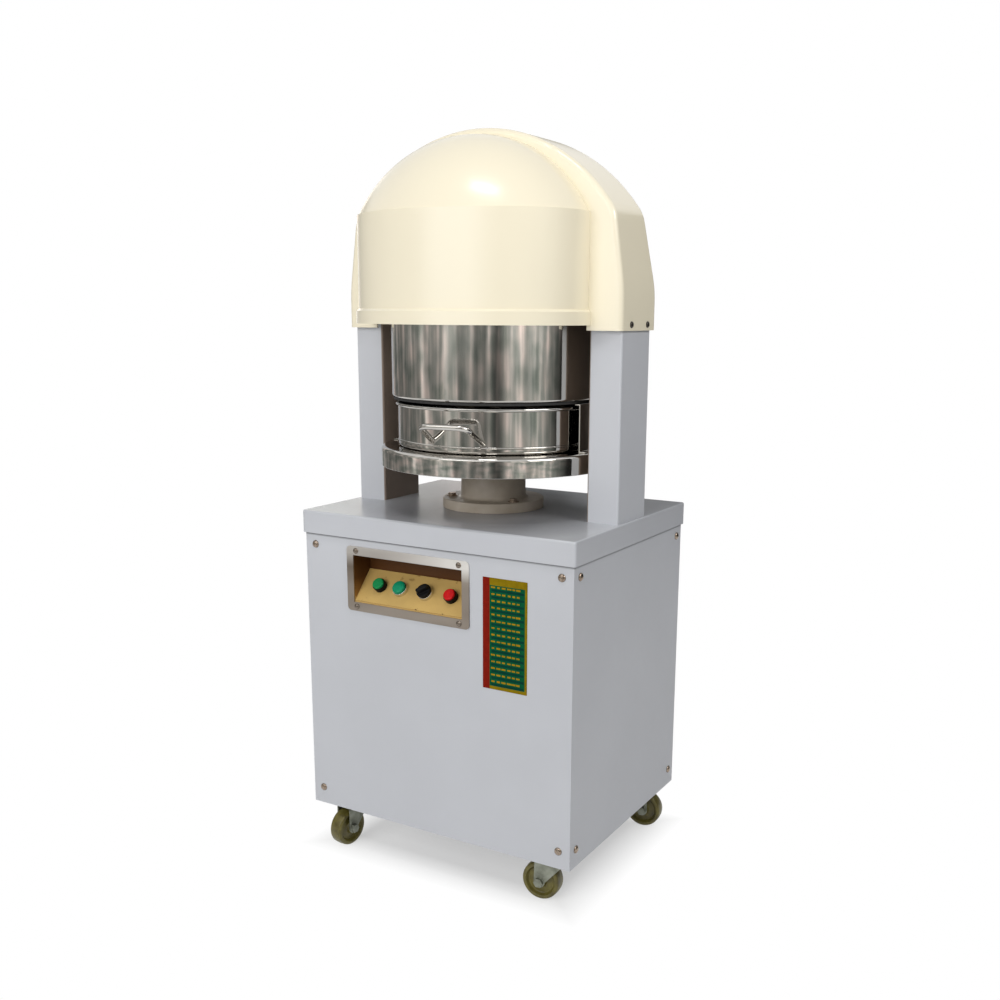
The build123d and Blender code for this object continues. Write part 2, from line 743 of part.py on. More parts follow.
def hood_form(wall):
    """The hood's outer form drawn in by a wall thickness: an arched slab over the posts whose back
    leans in, a round bulge in front and behind with a lip at its foot, and a dome over each bulge."""
    hood_low = top_z + hood_bottom
    start = hood_low if wall == 0 else hood_low - lip_height
    half = hood_half_width - wall
    shoulder_half = half - hood_lean
    shoulder_z = hood_low + hood_shoulder
    upright_z = hood_low + hood_upright
    crown_z = hood_low + hood_height - wall
    front_y = wall - hood_front
    rear_y = hood_rear - wall
    lean_y = rear_y - hood_rear_lean
    bulge_low = hood_low + bulge_lift if wall == 0 else start
    cut_z = shoulder_z - wall
    dome_base = bulge_half - dome_step
    dome_height = hood_height - hood_shoulder - dome_drop
    dome_arch = (dome_base ** 2 + dome_height ** 2) / (2 * dome_height)
    dome_z = shoulder_z + dome_height - dome_arch
    dome_high = dome_z + dome_arch - wall
    with BuildPart() as form:
        with BuildSketch(Plane.XZ.offset(-front_y)) as arch:
            with BuildLine():
                Polyline((-shoulder_half, shoulder_z), (-half, upright_z), (-half, start),
                         (half, start), (half, upright_z), (shoulder_half, shoulder_z))
                ThreePointArc((shoulder_half, shoulder_z), (0, crown_z), (-shoulder_half, shoulder_z))
            make_face()
            rows = arch.vertices().group_by(Axis.Y)
            fillet(rows[1], hood_lean_round)
            fillet(arch.vertices().group_by(Axis.Y)[-1], hood_shoulder_round)
        extrude(amount=front_y - rear_y)
        with BuildSketch(Plane.YZ.offset(-half)) as profile:
            with BuildLine():
                Polyline((front_y, start), (rear_y, start), (rear_y, upright_z), (lean_y, shoulder_z),
                         (lean_y, crown_z), (front_y, crown_z), close=True)
            make_face()
            for bend in ((rear_y, upright_z), (lean_y, shoulder_z)):
                fillet(profile.vertices().sort_by_distance((*bend, 0))[0], hood_rear_round)
        extrude(amount=2 * half, mode=Mode.INTERSECT)
        rim = [e for e in form.edges()
               if (e.center().Y < front_y + wall_touch or e.center().Y > lean_y - wall_touch)
               and e.center().Z > start + wall_touch
               and (abs(e.center().X) > wall_touch or e.center().Z > crown_z - wall_touch)]
        fillet(rim, hood_edge - wall)
        for way, wall_y in bulge_sides:
            with BuildSketch(Plane.XY.offset(bulge_low)):
                with Locations((0, way * wall_y)):
                    Ellipse(bulge_half - wall, bulge_reach - wall_y - wall)
            extrude(amount=cut_z - bulge_low)
            dome_reach = (bulge_reach - dome_step - wall_y) * dome_arch / dome_base - wall
            with BuildPart():
                with BuildSketch(Plane.YZ):
                    with BuildLine():
                        EllipticalCenterArc((way * wall_y, dome_z), dome_reach, dome_arch - wall,
                                            start_angle=45 - way * 45, arc_size=90)
                        Polyline((way * (wall_y + dome_reach), dome_z), (0, dome_z), (0, dome_high),
                                 (way * wall_y, dome_high))
                    make_face()
                revolve(axis=Axis((0, 0, dome_z), (0, 1, 0)))
                split(bisect_by=Plane.XY.offset(cut_z), keep=Keep.TOP)
    return form.part


hood_outside = hood_form(0.0)
hood_inside = hood_form(hood_wall)
with BuildPart() as hood:
    add(hood_outside)
    for way, wall_y in bulge_sides:
        with BuildPart() as lip:
            with BuildSketch(Plane.XY.offset(top_z + hood_bottom + bulge_lift)):
                with Locations((0, way * wall_y)):
                    Ellipse(bulge_half + lip_proud, bulge_reach - wall_y + lip_proud)
            extrude(amount=lip_height)
            chamfer(lip.faces().sort_by(Axis.Z)[-1].edges(), lip_round)
    add(hood_inside, mode=Mode.SUBTRACT)
    for side in (-1, 1):
        round_pins(Plane.YZ.offset(side * post_outer), hood_screw_spots,
                   hood_screw_shank / 2 + screw_clearance, side * (hood_half_width - post_outer + hood_wall),
                   Mode.SUBTRACT)
hood.part.label = "hood"
export_step(hood.part, "parts/hood.step")

# Hood screws, each with a spacer between the hood and the post
with BuildPart() as hood_screws:
    hood_sides = (Plane(origin=(-hood_half_width, 0, 0), x_dir=(0, -1, 0), z_dir=(-1, 0, 0)),
                  Plane(origin=(hood_half_width, 0, 0), x_dir=(0, 1, 0), z_dir=(1, 0, 0)))
    for face in hood_sides:
        spots = [(face.x_dir.Y * y, z) for y, z in hood_screw_spots]
        dome_screws(face, spots, hood_screw_head, hood_screw_dome, hood_screw_shank,
                    hood_half_width - post_outer + 2 * post_sheet)
        round_pins(face.offset(-hood_wall), spots, hood_spacer / 2, -hood_side_gap)
hood_screws.part.label = "hood_screws"
export_step(hood_screws.part, "parts/hood_screws.step")

# Guide bushes: one for each rod in the head plate and on the worktop, one for the stem
with BuildPart() as guide_bushes:
    bush_rows = ((rod_spots, rod_radius, head_low - bush_flange_sheet, head_high),
                 ([(0, 0)], stem_radius, head_low - bush_flange_sheet, head_high),
                 (rod_spots, rod_radius, top_z, top_z + worktop_bush_height))
    for spots, shaft, low, high in bush_rows:
        round_pins(Plane.XY.offset(low), spots, shaft + running_gap + bush_wall, high - low)
        flange_radius = shaft + running_gap + bush_wall + bush_flange
        round_pins(Plane.XY.offset(low), spots, flange_radius, bush_flange_sheet)
        round_pins(Plane.XY.offset(low), spots, shaft + running_gap, high - low, Mode.SUBTRACT)
guide_bushes.part.label = "guide_bushes"
export_step(guide_bushes.part, "parts/guide_bushes.step")

# Press beam under the hood: deeper in the middle, bored for the rods
beam_half = rod_x + beam_overhang
with BuildPart() as press_beam:
    with BuildSketch(Plane.XZ.offset(beam_depth / 2)):
        with BuildLine():
            Polyline((-beam_half, beam_high), (-beam_half, beam_z), (beam_half, beam_z), (beam_half, beam_high))
            Line((beam_half, beam_high), (beam_half - 2 * beam_overhang, beam_high))
            ThreePointArc((beam_half - 2 * beam_overhang, beam_high), (0, beam_high + beam_crown),
                          (2 * beam_overhang - beam_half, beam_high))
            Line((2 * beam_overhang - beam_half, beam_high), (-beam_half, beam_high))
        make_face()
    extrude(amount=-beam_depth)
    round_pins(Plane.XY.offset(beam_z), rod_spots, rod_radius + running_gap, beam_height, Mode.SUBTRACT)
press_beam.part.label = "press_beam"
export_step(press_beam.part, "parts/press_beam.step")

crosshead_half = rod_x + beam_overhang
with BuildPart() as crosshead:
    with BuildSketch(Plane.XY.offset(crosshead_z)):
        Rectangle(2 * crosshead_half, crosshead_depth)
        with Locations(*rod_spots):
            Circle(rod_radius + running_gap, mode=Mode.SUBTRACT)
    extrude(amount=crosshead_height)
crosshead.part.label = "crosshead"
export_step(crosshead.part, "parts/crosshead.step")

# Lift rods tie the press beam to the crosshead, with a nut at each end
with BuildPart() as lift_rods:
    rod_low = crosshead_z - rod_nut_height
    rod_high = beam_high + rod_nut_height
    round_pins(Plane.XY.offset(rod_low), rod_spots, rod_radius, rod_high - rod_low)
    for nut_z in (rod_low, beam_high):
        with BuildSketch(Plane.XY.offset(nut_z)):
            with Locations(*rod_spots):
                RegularPolygon(rod_nut, 6)
        extrude(amount=rod_nut_height)
lift_rods.part.label = "lift_rods"
export_step(lift_rods.part, "parts/lift_rods.step")

with BuildPart() as lead_screw:
    disc_between(screw_flange_radius, screw_flange_z, crosshead_z)
    disc_between(screw_radius, screw_tail_z, screw_flange_z)
lead_screw.part.label = "lead_screw"
export_step(lead_screw.part, "parts/lead_screw.step")

# Knife carrier: windowed disc and stem, bored for the guide pins
with BuildPart() as knife_carrier:
    with BuildSketch(Plane.XY.offset(carrier_z)):
        Circle(knife_radius)
        with PolarLocations(carrier_window_circle, carrier_window_count):
            Circle(carrier_window / 2, mode=Mode.SUBTRACT)
        with PolarLocations(guide_pin_circle, guide_pin_count, start_angle=90):
            Circle(guide_pin / 2 + running_gap, mode=Mode.SUBTRACT)
    extrude(amount=carrier_sheet)
    disc_between(stem_radius, carrier_high, beam_z)
knife_carrier.part.label = "knife_carrier"
export_step(knife_carrier.part, "parts/knife_carrier.step")

# Knife grid: three rings and 36 radial blades that enclose 36 cells of equal area
with BuildPart() as knife_grid:
    for ring_middle, ring_high in ((knife_radius - knife_sheet / 2, carrier_z), (ring_two, knife_high),
                                   (ring_one, knife_high)):
        with BuildSketch(Plane.XY.offset(knife_z)):
            Circle(ring_middle + knife_sheet / 2)
            Circle(ring_middle - knife_sheet / 2, mode=Mode.SUBTRACT)
        extrude(amount=ring_high - knife_z)
    with BuildSketch(Plane.XY.offset(knife_z)):
        for low_radius, high_radius, cells in cell_zones:
            with PolarLocations((low_radius + high_radius) / 2, cells):
                Rectangle(high_radius - low_radius + knife_sheet / 2, knife_sheet)
    extrude(amount=knife_depth)
knife_grid.part.label = "knife_grid"
export_step(knife_grid.part, "parts/knife_grid.step")

# Press segments: one plate and pin for each cell, hung from the press disc
with BuildPart() as press_segments:
    slit = knife_sheet + 2 * segment_gap
    with BuildSketch(Plane.XY.offset(segment_z)):
        for low_radius, high_radius, cells in cell_zones:
            outer_cut = segment_gap if high_radius == knife_inner else slit / 2
            Circle(high_radius - outer_cut)
            if low_radius > 0:
                Circle(low_radius + slit / 2, mode=Mode.SUBTRACT)
            with PolarLocations((low_radius + high_radius) / 2, cells):
                Rectangle(high_radius - low_radius + slit, slit, mode=Mode.SUBTRACT)
    extrude(amount=segment_sheet)
    with BuildSketch(Plane.XY.offset(segment_z + segment_sheet)):
        for low_radius, high_radius, cells in cell_zones:
            with PolarLocations(0.6 * high_radius + 0.4 * low_radius, cells, start_angle=180 / cells):
                Circle(segment_pin / 2)
    extrude(amount=disc_z - segment_z - segment_sheet)
press_segments.part.label = "press_segments"
export_step(press_segments.part, "parts/press_segments.step")

with BuildPart() as press_disc:
    disc_between(knife_inner - disc_gap, disc_z, disc_high)
press_disc.part.label = "press_disc"
export_step(press_disc.part, "parts/press_disc.step")

# Guide pins rise through the carrier. Their collars hang the press disc on it.
with BuildPart() as guide_pins:
    collar_z = carrier_high + seat_gap
    for pin_radius, low, high in ((guide_pin / 2, disc_high, collar_z),
                                  (guide_collar / 2, collar_z, collar_z + guide_collar_height)):
        with BuildSketch(Plane.XY.offset(low)):
            with PolarLocations(guide_pin_circle, guide_pin_count, start_angle=90):
                Circle(pin_radius)
        extrude(amount=high - low)
guide_pins.part.label = "guide_pins"
export_step(guide_pins.part, "parts/guide_pins.step")

# Pedestal: hollow casting with a bolted flange
tray_under = tray_z - tray_sheet
with BuildPart() as pedestal:
    flange_z = top_z + pedestal_flange
    with BuildSketch(Plane.XZ.move(Location((pedestal_x, 0, 0)))) as casting:
        with BuildLine():
            Polyline((pedestal_bore, top_z), (pedestal_flange_radius, top_z),
                     (pedestal_flange_radius, flange_z), (pedestal_radius, flange_z),
                     (pedestal_radius, tray_under), (0, tray_under),
                     (0, tray_under - pedestal_crown), (pedestal_bore, tray_under - pedestal_crown), close=True)
        make_face()
        fillet(casting.vertices().sort_by_distance((pedestal_radius, flange_z, 0))[0], pedestal_fillet)
        chamfer(casting.vertices().sort_by_distance((pedestal_flange_radius, flange_z, 0))[0], pedestal_chamfer)
    revolve(axis=Axis((pedestal_x, 0, 0), (0, 0, 1)))
    round_pins(Plane.XY.offset(top_z), pedestal_bolt_spots, pedestal_bolt / 2 + screw_clearance,
               pedestal_flange, Mode.SUBTRACT)
pedestal.part.label = "pedestal"
export_step(pedestal.part, "parts/pedestal.step")

with BuildPart() as pedestal_bolts:
    flange_top = Plane.XY.offset(top_z + pedestal_flange)
    with BuildSketch(flange_top):
        with Locations(*pedestal_bolt_spots):
            RegularPolygon(pedestal_bolt_head / 2, 6)
    extrude(amount=pedestal_bolt_head_height)
    round_pins(flange_top, pedestal_bolt_spots, pedestal_bolt / 2,
               -pedestal_flange - worktop_sheet - pedestal_bolt_grip)
pedestal_bolts.part.label = "pedestal_bolts"
export_step(pedestal_bolts.part, "parts/pedestal_bolts.step")

# Tray: spun disc with a turned-down rim
with BuildPart() as tray:
    inner_round = tray_round - tray_sheet
    with BuildSketch(Plane.XZ):
        with BuildLine():
            Polyline((tray_radius - tray_round, tray_under), (0, tray_under), (0, tray_z),
                     (tray_radius - tray_round, tray_z))
            RadiusArc((tray_radius - tray_round, tray_z), (tray_radius, tray_z - tray_round), tray_round)
            Polyline((tray_radius, tray_z - tray_round), (tray_radius, tray_z - tray_rim),
                     (tray_radius - tray_sheet, tray_z - tray_rim),
                     (tray_radius - tray_sheet, tray_z - tray_round))
            RadiusArc((tray_radius - tray_sheet, tray_z - tray_round), (tray_radius - tray_round, tray_under),
                      -inner_round)
        make_face()
    revolve(axis=Axis.Z)
tray.part.label = "tray"
export_step(tray.part, "parts/tray.step")

# Guide rails: Z-section strips that hold the pan down and guide it from the front
with BuildPart() as guide_rails:
    web_in = pan_rim_radius + rail_web_gap
    web_out = web_in + rail_sheet
    lip_in = knife_radius + rail_knife_gap
    rail_low = pan_top + rail_top_gap
    rail_high = rail_low + rail_sheet
    with BuildSketch(Plane.XZ.offset(rail_length / 2)):
        with BuildLine():
            Polyline((web_in, tray_z), (web_out + rail_foot, tray_z),
                     (web_out + rail_foot, tray_z + rail_sheet),
                     (web_out, tray_z + rail_sheet), (web_out, rail_high), (lip_in, rail_high),
                     (lip_in, rail_low), (web_in, rail_low), close=True)
        make_face()
    extrude(amount=-rail_length)
    round_pins(Plane.YZ.offset(web_in), [(0, (tray_z + rail_low) / 2)], rail_hole / 2, rail_sheet,
               Mode.SUBTRACT)
    mirror(about=Plane.YZ)
guide_rails.part.label = "guide_rails"
export_step(guide_rails.part, "parts/guide_rails.step")

# Dough pan: spun shell with a rounded foot, a foot bead and a rolled rim
with BuildPart() as dough_pan:
    bead_z = pan_top - pan_rim_bead
    inner = pan_radius - pan_wall
    with BuildSketch(Plane.XZ):
        with BuildLine():
            Polyline((inner - pan_round + pan_wall, pan_floor_z), (0, pan_floor_z), (0, pan_z),
                     (pan_radius - pan_round, pan_z))
            RadiusArc((pan_radius - pan_round, pan_z), (pan_radius, pan_z + pan_round), -pan_round)
            Polyline((pan_radius, pan_z + pan_round), (pan_radius, bead_z), (inner, bead_z),
                     (inner, pan_floor_z + pan_round - pan_wall))
            RadiusArc((inner, pan_floor_z + pan_round - pan_wall), (inner - pan_round + pan_wall, pan_floor_z),
                      pan_round - pan_wall)
        make_face()
        with Locations((pan_radius + pan_rim_out, bead_z)):
            Circle(pan_rim_bead)
        with Locations((pan_radius - pan_wall / 2, pan_z + pan_foot_bead_up)):
            Circle(pan_foot_bead)
        with Locations((inner / 2, pan_floor_z + pan_height)):
            Rectangle(inner, 2 * (pan_height - pan_round), mode=Mode.SUBTRACT)
    revolve(axis=Axis.Z)
dough_pan.part.label = "dough_pan"
export_step(dough_pan.part, "parts/dough_pan.step")

# Pan handle: bent rod that rises away from the pan wall
turn = radians(handle_turn)
slant = sqrt(handle_reach ** 2 + handle_rise ** 2)
reach_part = handle_reach / slant
rise_part = handle_rise / slant
handle_across = Vector(cos(turn), sin(turn), 0)
handle_out = Vector(sin(turn) * reach_part, -cos(turn) * reach_part, rise_part)
handle_foot = Vector(sin(turn) * pan_radius, -cos(turn) * pan_radius, pan_z + handle_foot_up)
handle_plane = Plane(origin=handle_foot, x_dir=handle_across, z_dir=handle_across.cross(handle_out))
with BuildPart() as pan_handle:
    with BuildLine(handle_plane) as handle_path:
        FilletPolyline((-handle_half_foot, -handle_root), (-handle_half_grip, slant), (handle_half_grip, slant),
                       (handle_half_foot, -handle_root), radius=handle_bend)
    with BuildSketch(Plane(origin=handle_path.line @ 0, z_dir=handle_path.line % 0)):
        Circle(handle_rod / 2)
    sweep(path=handle_path.line)
    disc_between(pan_radius, pan_z, pan_top, Mode.SUBTRACT)
pan_handle.part.label = "pan_handle"
export_step(pan_handle.part, "parts/pan_handle.step")

# Drive bridge: plate on the frame's side rails with the bearing housing welded on, bored for the
# screw and the motor shaft
with BuildPart() as drive_bridge:
    with BuildSketch(Plane.XY.offset(bridge_z - bridge_sheet)):
        Rectangle(2 * frame_x, bridge_depth)
        with Locations((motor_x, 0)):
            Circle(motor_shaft + rod_clearance, mode=Mode.SUBTRACT)
    extrude(amount=bridge_sheet)
    disc_between(housing_radius, bridge_z, housing_high)
    disc_between(nut_hub_radius + running_gap, bridge_z, housing_high, Mode.SUBTRACT)
    disc_between(screw_radius + rod_clearance, bridge_z - bridge_sheet, bridge_z, Mode.SUBTRACT)
drive_bridge.part.label = "drive_bridge"
export_step(drive_bridge.part, "parts/drive_bridge.step")

# Nut pulley: grooved rim over a hub that turns in the housing and drives the screw
groove_floor = nut_pulley_radius - groove_depth
groove_low = pulley_z + pulley_rim
groove_high = pulley_high - pulley_rim
with BuildPart() as nut_pulley:
    disc_between(nut_hub_radius, bridge_z + nut_hub_clear, pulley_z)
    disc_between(nut_pulley_radius, pulley_z, groove_low)
    disc_between(groove_floor, groove_low, groove_high)
    disc_between(nut_pulley_radius, groove_high, pulley_high)
    disc_between(screw_radius + running_gap, bridge_z, pulley_high, Mode.SUBTRACT)
nut_pulley.part.label = "nut_pulley"
export_step(nut_pulley.part, "parts/nut_pulley.step")

motor_floor = motor_pulley_radius - groove_depth
motor_spot = [(motor_x, 0)]
with BuildPart() as motor_pulley:
    for rim_radius, low, high in ((motor_pulley_radius, pulley_z, groove_low),
                                  (motor_floor, groove_low, groove_high),
                                  (motor_pulley_radius, groove_high, pulley_high)):
        round_pins(Plane.XY.offset(low), motor_spot, rim_radius, high - low)
    round_pins(Plane.XY.offset(bridge_z - bridge_sheet + caster_gap), motor_spot, motor_shaft,
               pulley_z - bridge_z + bridge_sheet - caster_gap)
motor_pulley.part.label = "motor_pulley"
export_step(motor_pulley.part, "parts/motor_pulley.step")

# Belt loop round both pulleys, lying in their grooves
with BuildPart() as drive_belt:
    for inset, belt_mode in ((groove_depth + belt_proud, Mode.ADD), (belt_gap, Mode.SUBTRACT)):
        with BuildSketch(Plane.XY.offset(groove_low + belt_gap)):
            Circle(groove_floor + inset)
            with Locations((motor_x, 0)):
                Circle(motor_floor + inset)
            make_hull()
        extrude(amount=groove_high - groove_low - 2 * belt_gap, mode=belt_mode)
drive_belt.part.label = "drive_belt"
export_step(drive_belt.part, "parts/drive_belt.step")

# Motor hung under the bridge: square flange, finned shell, fan cover and terminal box
motor_high = bridge_z - bridge_sheet
motor_low = motor_high - motor_length
with BuildPart() as motor:
    with BuildSketch(Plane.XY.offset(motor_high)):
        with Locations((motor_x, 0)):
            RectangleRounded(motor_flange, motor_flange, motor_flange_sheet)
    extrude(amount=-motor_flange_sheet)
    round_pins(Plane.XY.offset(motor_low), motor_spot, motor_radius, motor_length - motor_flange_sheet)
    with BuildSketch(Plane.XY.offset(motor_low + motor_length / 4)):
        with Locations((motor_x, 0)):
            with PolarLocations(motor_radius, motor_fin_count):
                Rectangle(2 * motor_fin, motor_fin_sheet)
    extrude(amount=motor_length / 2)
    with BuildSketch(Plane.XZ.offset(motor_radius - motor_fin)):
        with Locations((motor_x, motor_high - motor_length / 2)):
            Rectangle(motor_box_length, motor_box_length)
    extrude(amount=motor_box_height)
motor.part.label = "motor"
export_step(motor.part, "parts/motor.step")

with BuildPart() as contactor_box:
    contactor_x = contactor_width / 2 + contactor_side_gap + tube - frame_x
    contactor_y = frame_y - tube - contactor_rear_gap - contactor_depth / 2
    with BuildSketch(Plane.XY.offset(frame_low)):
        with Locations((contactor_x, contactor_y)):
            RectangleRounded(contactor_width, contactor_depth, contactor_round)
    extrude(amount=contactor_height)
    fillet(contactor_box.edges().group_by(Axis.Z)[-1], contactor_round / 2)
contactor_box.part.label = "contactor_box"
export_step(contactor_box.part, "parts/contactor_box.step")

# Cable gland in the rear panel: bored neck, locking hexagon and dome nut
with BuildPart() as cable_gland:
    round_pins(rear_face.offset(-panel_sheet - gland_nut), gland_spot, gland_neck, panel_sheet + gland_nut)
    with BuildSketch(rear_face):
        with Locations(*gland_spot):
            RegularPolygon(gland_radius, 6)
    extrude(amount=gland_nut)
    round_pins(rear_face.offset(gland_nut), gland_spot, gland_neck + gland_cap, gland_reach)
    chamfer(cable_gland.faces().sort_by(Axis.Y)[-1].edges(), gland_cap)
    round_pins(rear_face.offset(-panel_sheet - gland_nut), gland_spot, gland_bore,
               panel_sheet + 2 * gland_nut + gland_reach, Mode.SUBTRACT)
cable_gland.part.label = "cable_gland"
export_step(cable_gland.part, "parts/cable_gland.step")

# Caster plates, each with a ball race and a king pin that the fork turns on
race_z = caster_height - caster_plate_sheet - race_height
crown_high = race_z - caster_gap
crown_low = crown_high - crown_sheet
plate_under = caster_height - caster_plate_sheet
with BuildPart() as caster_plates:
    with BuildSketch(Plane.XY.offset(plate_under)):
        with Locations(*caster_spots.values()):
            RectangleRounded(caster_plate_length, caster_plate_width, caster_plate_corner)
        with Locations(*caster_bolt_spots):
            Circle(caster_bolt / 2 + screw_clearance, mode=Mode.SUBTRACT)
    extrude(amount=caster_plate_sheet)
    pin_spots = list(caster_spots.values())
    round_pins(Plane.XY.offset(race_z), pin_spots, race_radius, race_height)
    round_pins(Plane.XY.offset(crown_low - caster_gap), pin_spots, king_pin, race_z - crown_low + caster_gap)
    king_head_low = crown_low - caster_gap - king_head_height
    round_pins(Plane.XY.offset(king_head_low), pin_spots, king_head, king_head_height)
caster_plates.part.label = "caster_plates"
export_step(caster_plates.part, "parts/caster_plates.step")

with BuildPart() as caster_bolts:
    with BuildSketch(Plane.XY.offset(plate_under)):
        with Locations(*caster_bolt_spots):
            RegularPolygon(caster_bolt_head / 2, 6)
    extrude(amount=-caster_bolt_head_height)
    round_pins(Plane.XY.offset(plate_under), caster_bolt_spots, caster_bolt / 2,
               caster_plate_sheet + base_sheet - caster_bolt_short)
caster_bolts.part.label = "caster_bolts"
export_step(caster_bolts.part, "parts/caster_bolts.step")

# Forks and wheels. Each fork trails its wheel along its own heading.
fork_gap = wheel_hub_length / 2 + caster_gap
for corner, (spot_x, spot_y) in caster_spots.items():
    heading = radians(caster_headings[corner])
    ahead = Vector(cos(heading), sin(heading), 0)
    aside = Vector(sin(heading), -cos(heading), 0)
    swivel = Vector(spot_x, spot_y, 0)
    hub = swivel + ahead * trail + Vector(0, 0, wheel_radius)
    leg_plane = Plane(origin=swivel, x_dir=ahead, z_dir=aside)
    axle_plane = Plane(origin=hub, x_dir=ahead, z_dir=aside)
    with BuildPart() as fork:
        for side in (-1, 1):
            with BuildSketch(leg_plane.offset(side * fork_gap)):
                with BuildLine():
                    Polyline((-fork_shoulder, crown_low), (fork_shoulder, crown_low),
                             (trail + fork_boss, wheel_radius), (trail - fork_boss, wheel_radius), close=True)
                make_face()
                with Locations((trail, wheel_radius)):
                    Circle(fork_boss)
            extrude(amount=side * fork_sheet)
            with BuildSketch(axle_plane.offset(side * (fork_gap + fork_sheet))):
                RegularPolygon(axle_head, 6)
            extrude(amount=side * axle_head_height)
        with BuildSketch(Plane.XY.offset(crown_low)):
            with Locations((spot_x, spot_y)):
                Circle(crown_radius)
                Circle(king_pin + running_gap, mode=Mode.SUBTRACT)
        extrude(amount=crown_sheet)
        round_pins(axle_plane.offset(-fork_gap), [(0, 0)], axle_radius, 2 * fork_gap)
    fork.part.label = f"{corner}_fork"
    export_step(fork.part, f"parts/{corner}_fork.step")

    half_width = wheel_width / 2
    half_web = wheel_web / 2
    half_hub = wheel_hub_length / 2
    section_plane = Plane(origin=hub, x_dir=aside, z_dir=aside.cross(Vector(0, 0, 1)))
    tread_floor = wheel_radius - wheel_tread
    bore = axle_radius + running_gap
    with BuildPart() as wheel:
        with BuildSketch(section_plane) as section:
            with BuildLine():
                Polyline((-half_hub, bore), (-half_hub, wheel_hub_radius), (-half_web, wheel_hub_radius),
                         (-half_web, tread_floor), (-half_width, tread_floor), (-half_width, wheel_radius),
                         (half_width, wheel_radius), (half_width, tread_floor), (half_web, tread_floor),
                         (half_web, wheel_hub_radius), (half_hub, wheel_hub_radius), (half_hub, bore),
                         close=True)
            make_face()
            fillet(section.vertices().group_by(Axis.Y)[-1], wheel_round)
        revolve(axis=Axis(hub, aside))
    wheel.part.label = f"{corner}_wheel"
    export_step(wheel.part, f"parts/{corner}_wheel.step")
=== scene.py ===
import json
from math import atan2, cos, pi, radians, sin, tan

import bmesh
import bpy
from mathutils import Matrix, Vector


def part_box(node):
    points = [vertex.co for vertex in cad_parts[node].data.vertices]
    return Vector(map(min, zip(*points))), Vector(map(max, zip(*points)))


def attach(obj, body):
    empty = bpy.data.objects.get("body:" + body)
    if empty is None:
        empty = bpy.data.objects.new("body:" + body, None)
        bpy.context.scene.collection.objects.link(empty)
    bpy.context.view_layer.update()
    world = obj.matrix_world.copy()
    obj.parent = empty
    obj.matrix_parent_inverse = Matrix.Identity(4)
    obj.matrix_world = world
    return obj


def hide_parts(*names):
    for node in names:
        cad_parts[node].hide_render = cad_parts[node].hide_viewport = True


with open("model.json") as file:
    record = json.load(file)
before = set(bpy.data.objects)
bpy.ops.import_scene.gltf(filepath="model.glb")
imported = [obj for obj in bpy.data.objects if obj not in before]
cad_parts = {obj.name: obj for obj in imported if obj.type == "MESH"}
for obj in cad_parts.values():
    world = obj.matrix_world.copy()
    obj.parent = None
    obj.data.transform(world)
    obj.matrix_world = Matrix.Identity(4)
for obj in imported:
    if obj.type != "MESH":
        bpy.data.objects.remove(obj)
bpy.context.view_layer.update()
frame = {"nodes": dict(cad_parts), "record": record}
record = frame["record"]
joints = {joint["name"]: joint for joint in record["behaviour"]["joints"]}
body_of = {node: body for body, members in record["behaviour"]["bodies"].items() for node in members}
scene = bpy.context.scene
scene.view_settings.view_transform = "Standard"

# Camera. It stands to the operator's right at chest height and looks a little down at the machine,
# with a normal lens. The shift only frames the machine as the catalogue picture does.
camera_place = Vector((1.1389, -1.8615, 1.0733))
camera_turn = radians(30.23)
camera_dip = radians(12.24)
camera_roll = radians(0.34)
look = Vector((-sin(camera_turn) * cos(camera_dip), cos(camera_turn) * cos(camera_dip),
               -sin(camera_dip)))
level = Vector((cos(camera_turn), sin(camera_turn), 0))
upright = level.cross(look)
across = level * cos(camera_roll) + upright * sin(camera_roll)
upward = upright * cos(camera_roll) - level * sin(camera_roll)
camera_axes = Matrix((across, upward, -look)).transposed()
camera_data = bpy.data.cameras.new("camera")
camera_data.sensor_width = 36
camera_data.lens = 39.93
camera_data.shift_x = -0.0213
camera_data.shift_y = 0.0544
camera = bpy.data.objects.new("camera", camera_data)
camera.matrix_world = Matrix.Translation(camera_place) @ camera_axes.to_4x4()
scene.collection.objects.link(camera)
scene.camera = camera


# Studio. A white room lights the machine weakly from all sides, with a large soft box in front, a
# little to the left, weaker ones on the right and behind, and a small strip lamp overhead. The
# camera and mirrors see the room as plain white.
def add(tree, kind, inputs=None, **settings):
    """A new node; returns its outputs. An input takes another node's output or a plain value."""
    node = tree.nodes.new(kind)
    for name, value in settings.items():
        setattr(node, name, value)
    for name, value in (inputs or {}).items():
        if isinstance(value, bpy.types.NodeSocket):
            tree.links.new(value, node.inputs[name])
        else:
            node.inputs[name].default_value = value
    return node.outputs


def maths(tree, operation, *values):
    """Result of an operation on numbers."""
    return add(tree, "ShaderNodeMath", dict(enumerate(values)), operation=operation)[0]


def vector_maths(tree, operation, first, second, result="Vector"):
    """Result of an operation on two vectors or colours."""
    return add(tree, "ShaderNodeVectorMath", {0: first, 1: second}, operation=operation)[result]


def soft_box(name, place, target, width, depth, power):
    """A rectangular studio lamp at a place, facing a target."""
    lamp = bpy.data.lights.new(name, "AREA")
    lamp.shape = "RECTANGLE"
    lamp.size = width
    lamp.size_y = depth
    lamp.energy = power
    holder = bpy.data.objects.new(name, lamp)
    aim = (Vector(target) - Vector(place)).to_track_quat("-Z", "Y")
    holder.matrix_world = Matrix.Translation(place) @ aim.to_matrix().to_4x4()
    scene.collection.objects.link(holder)


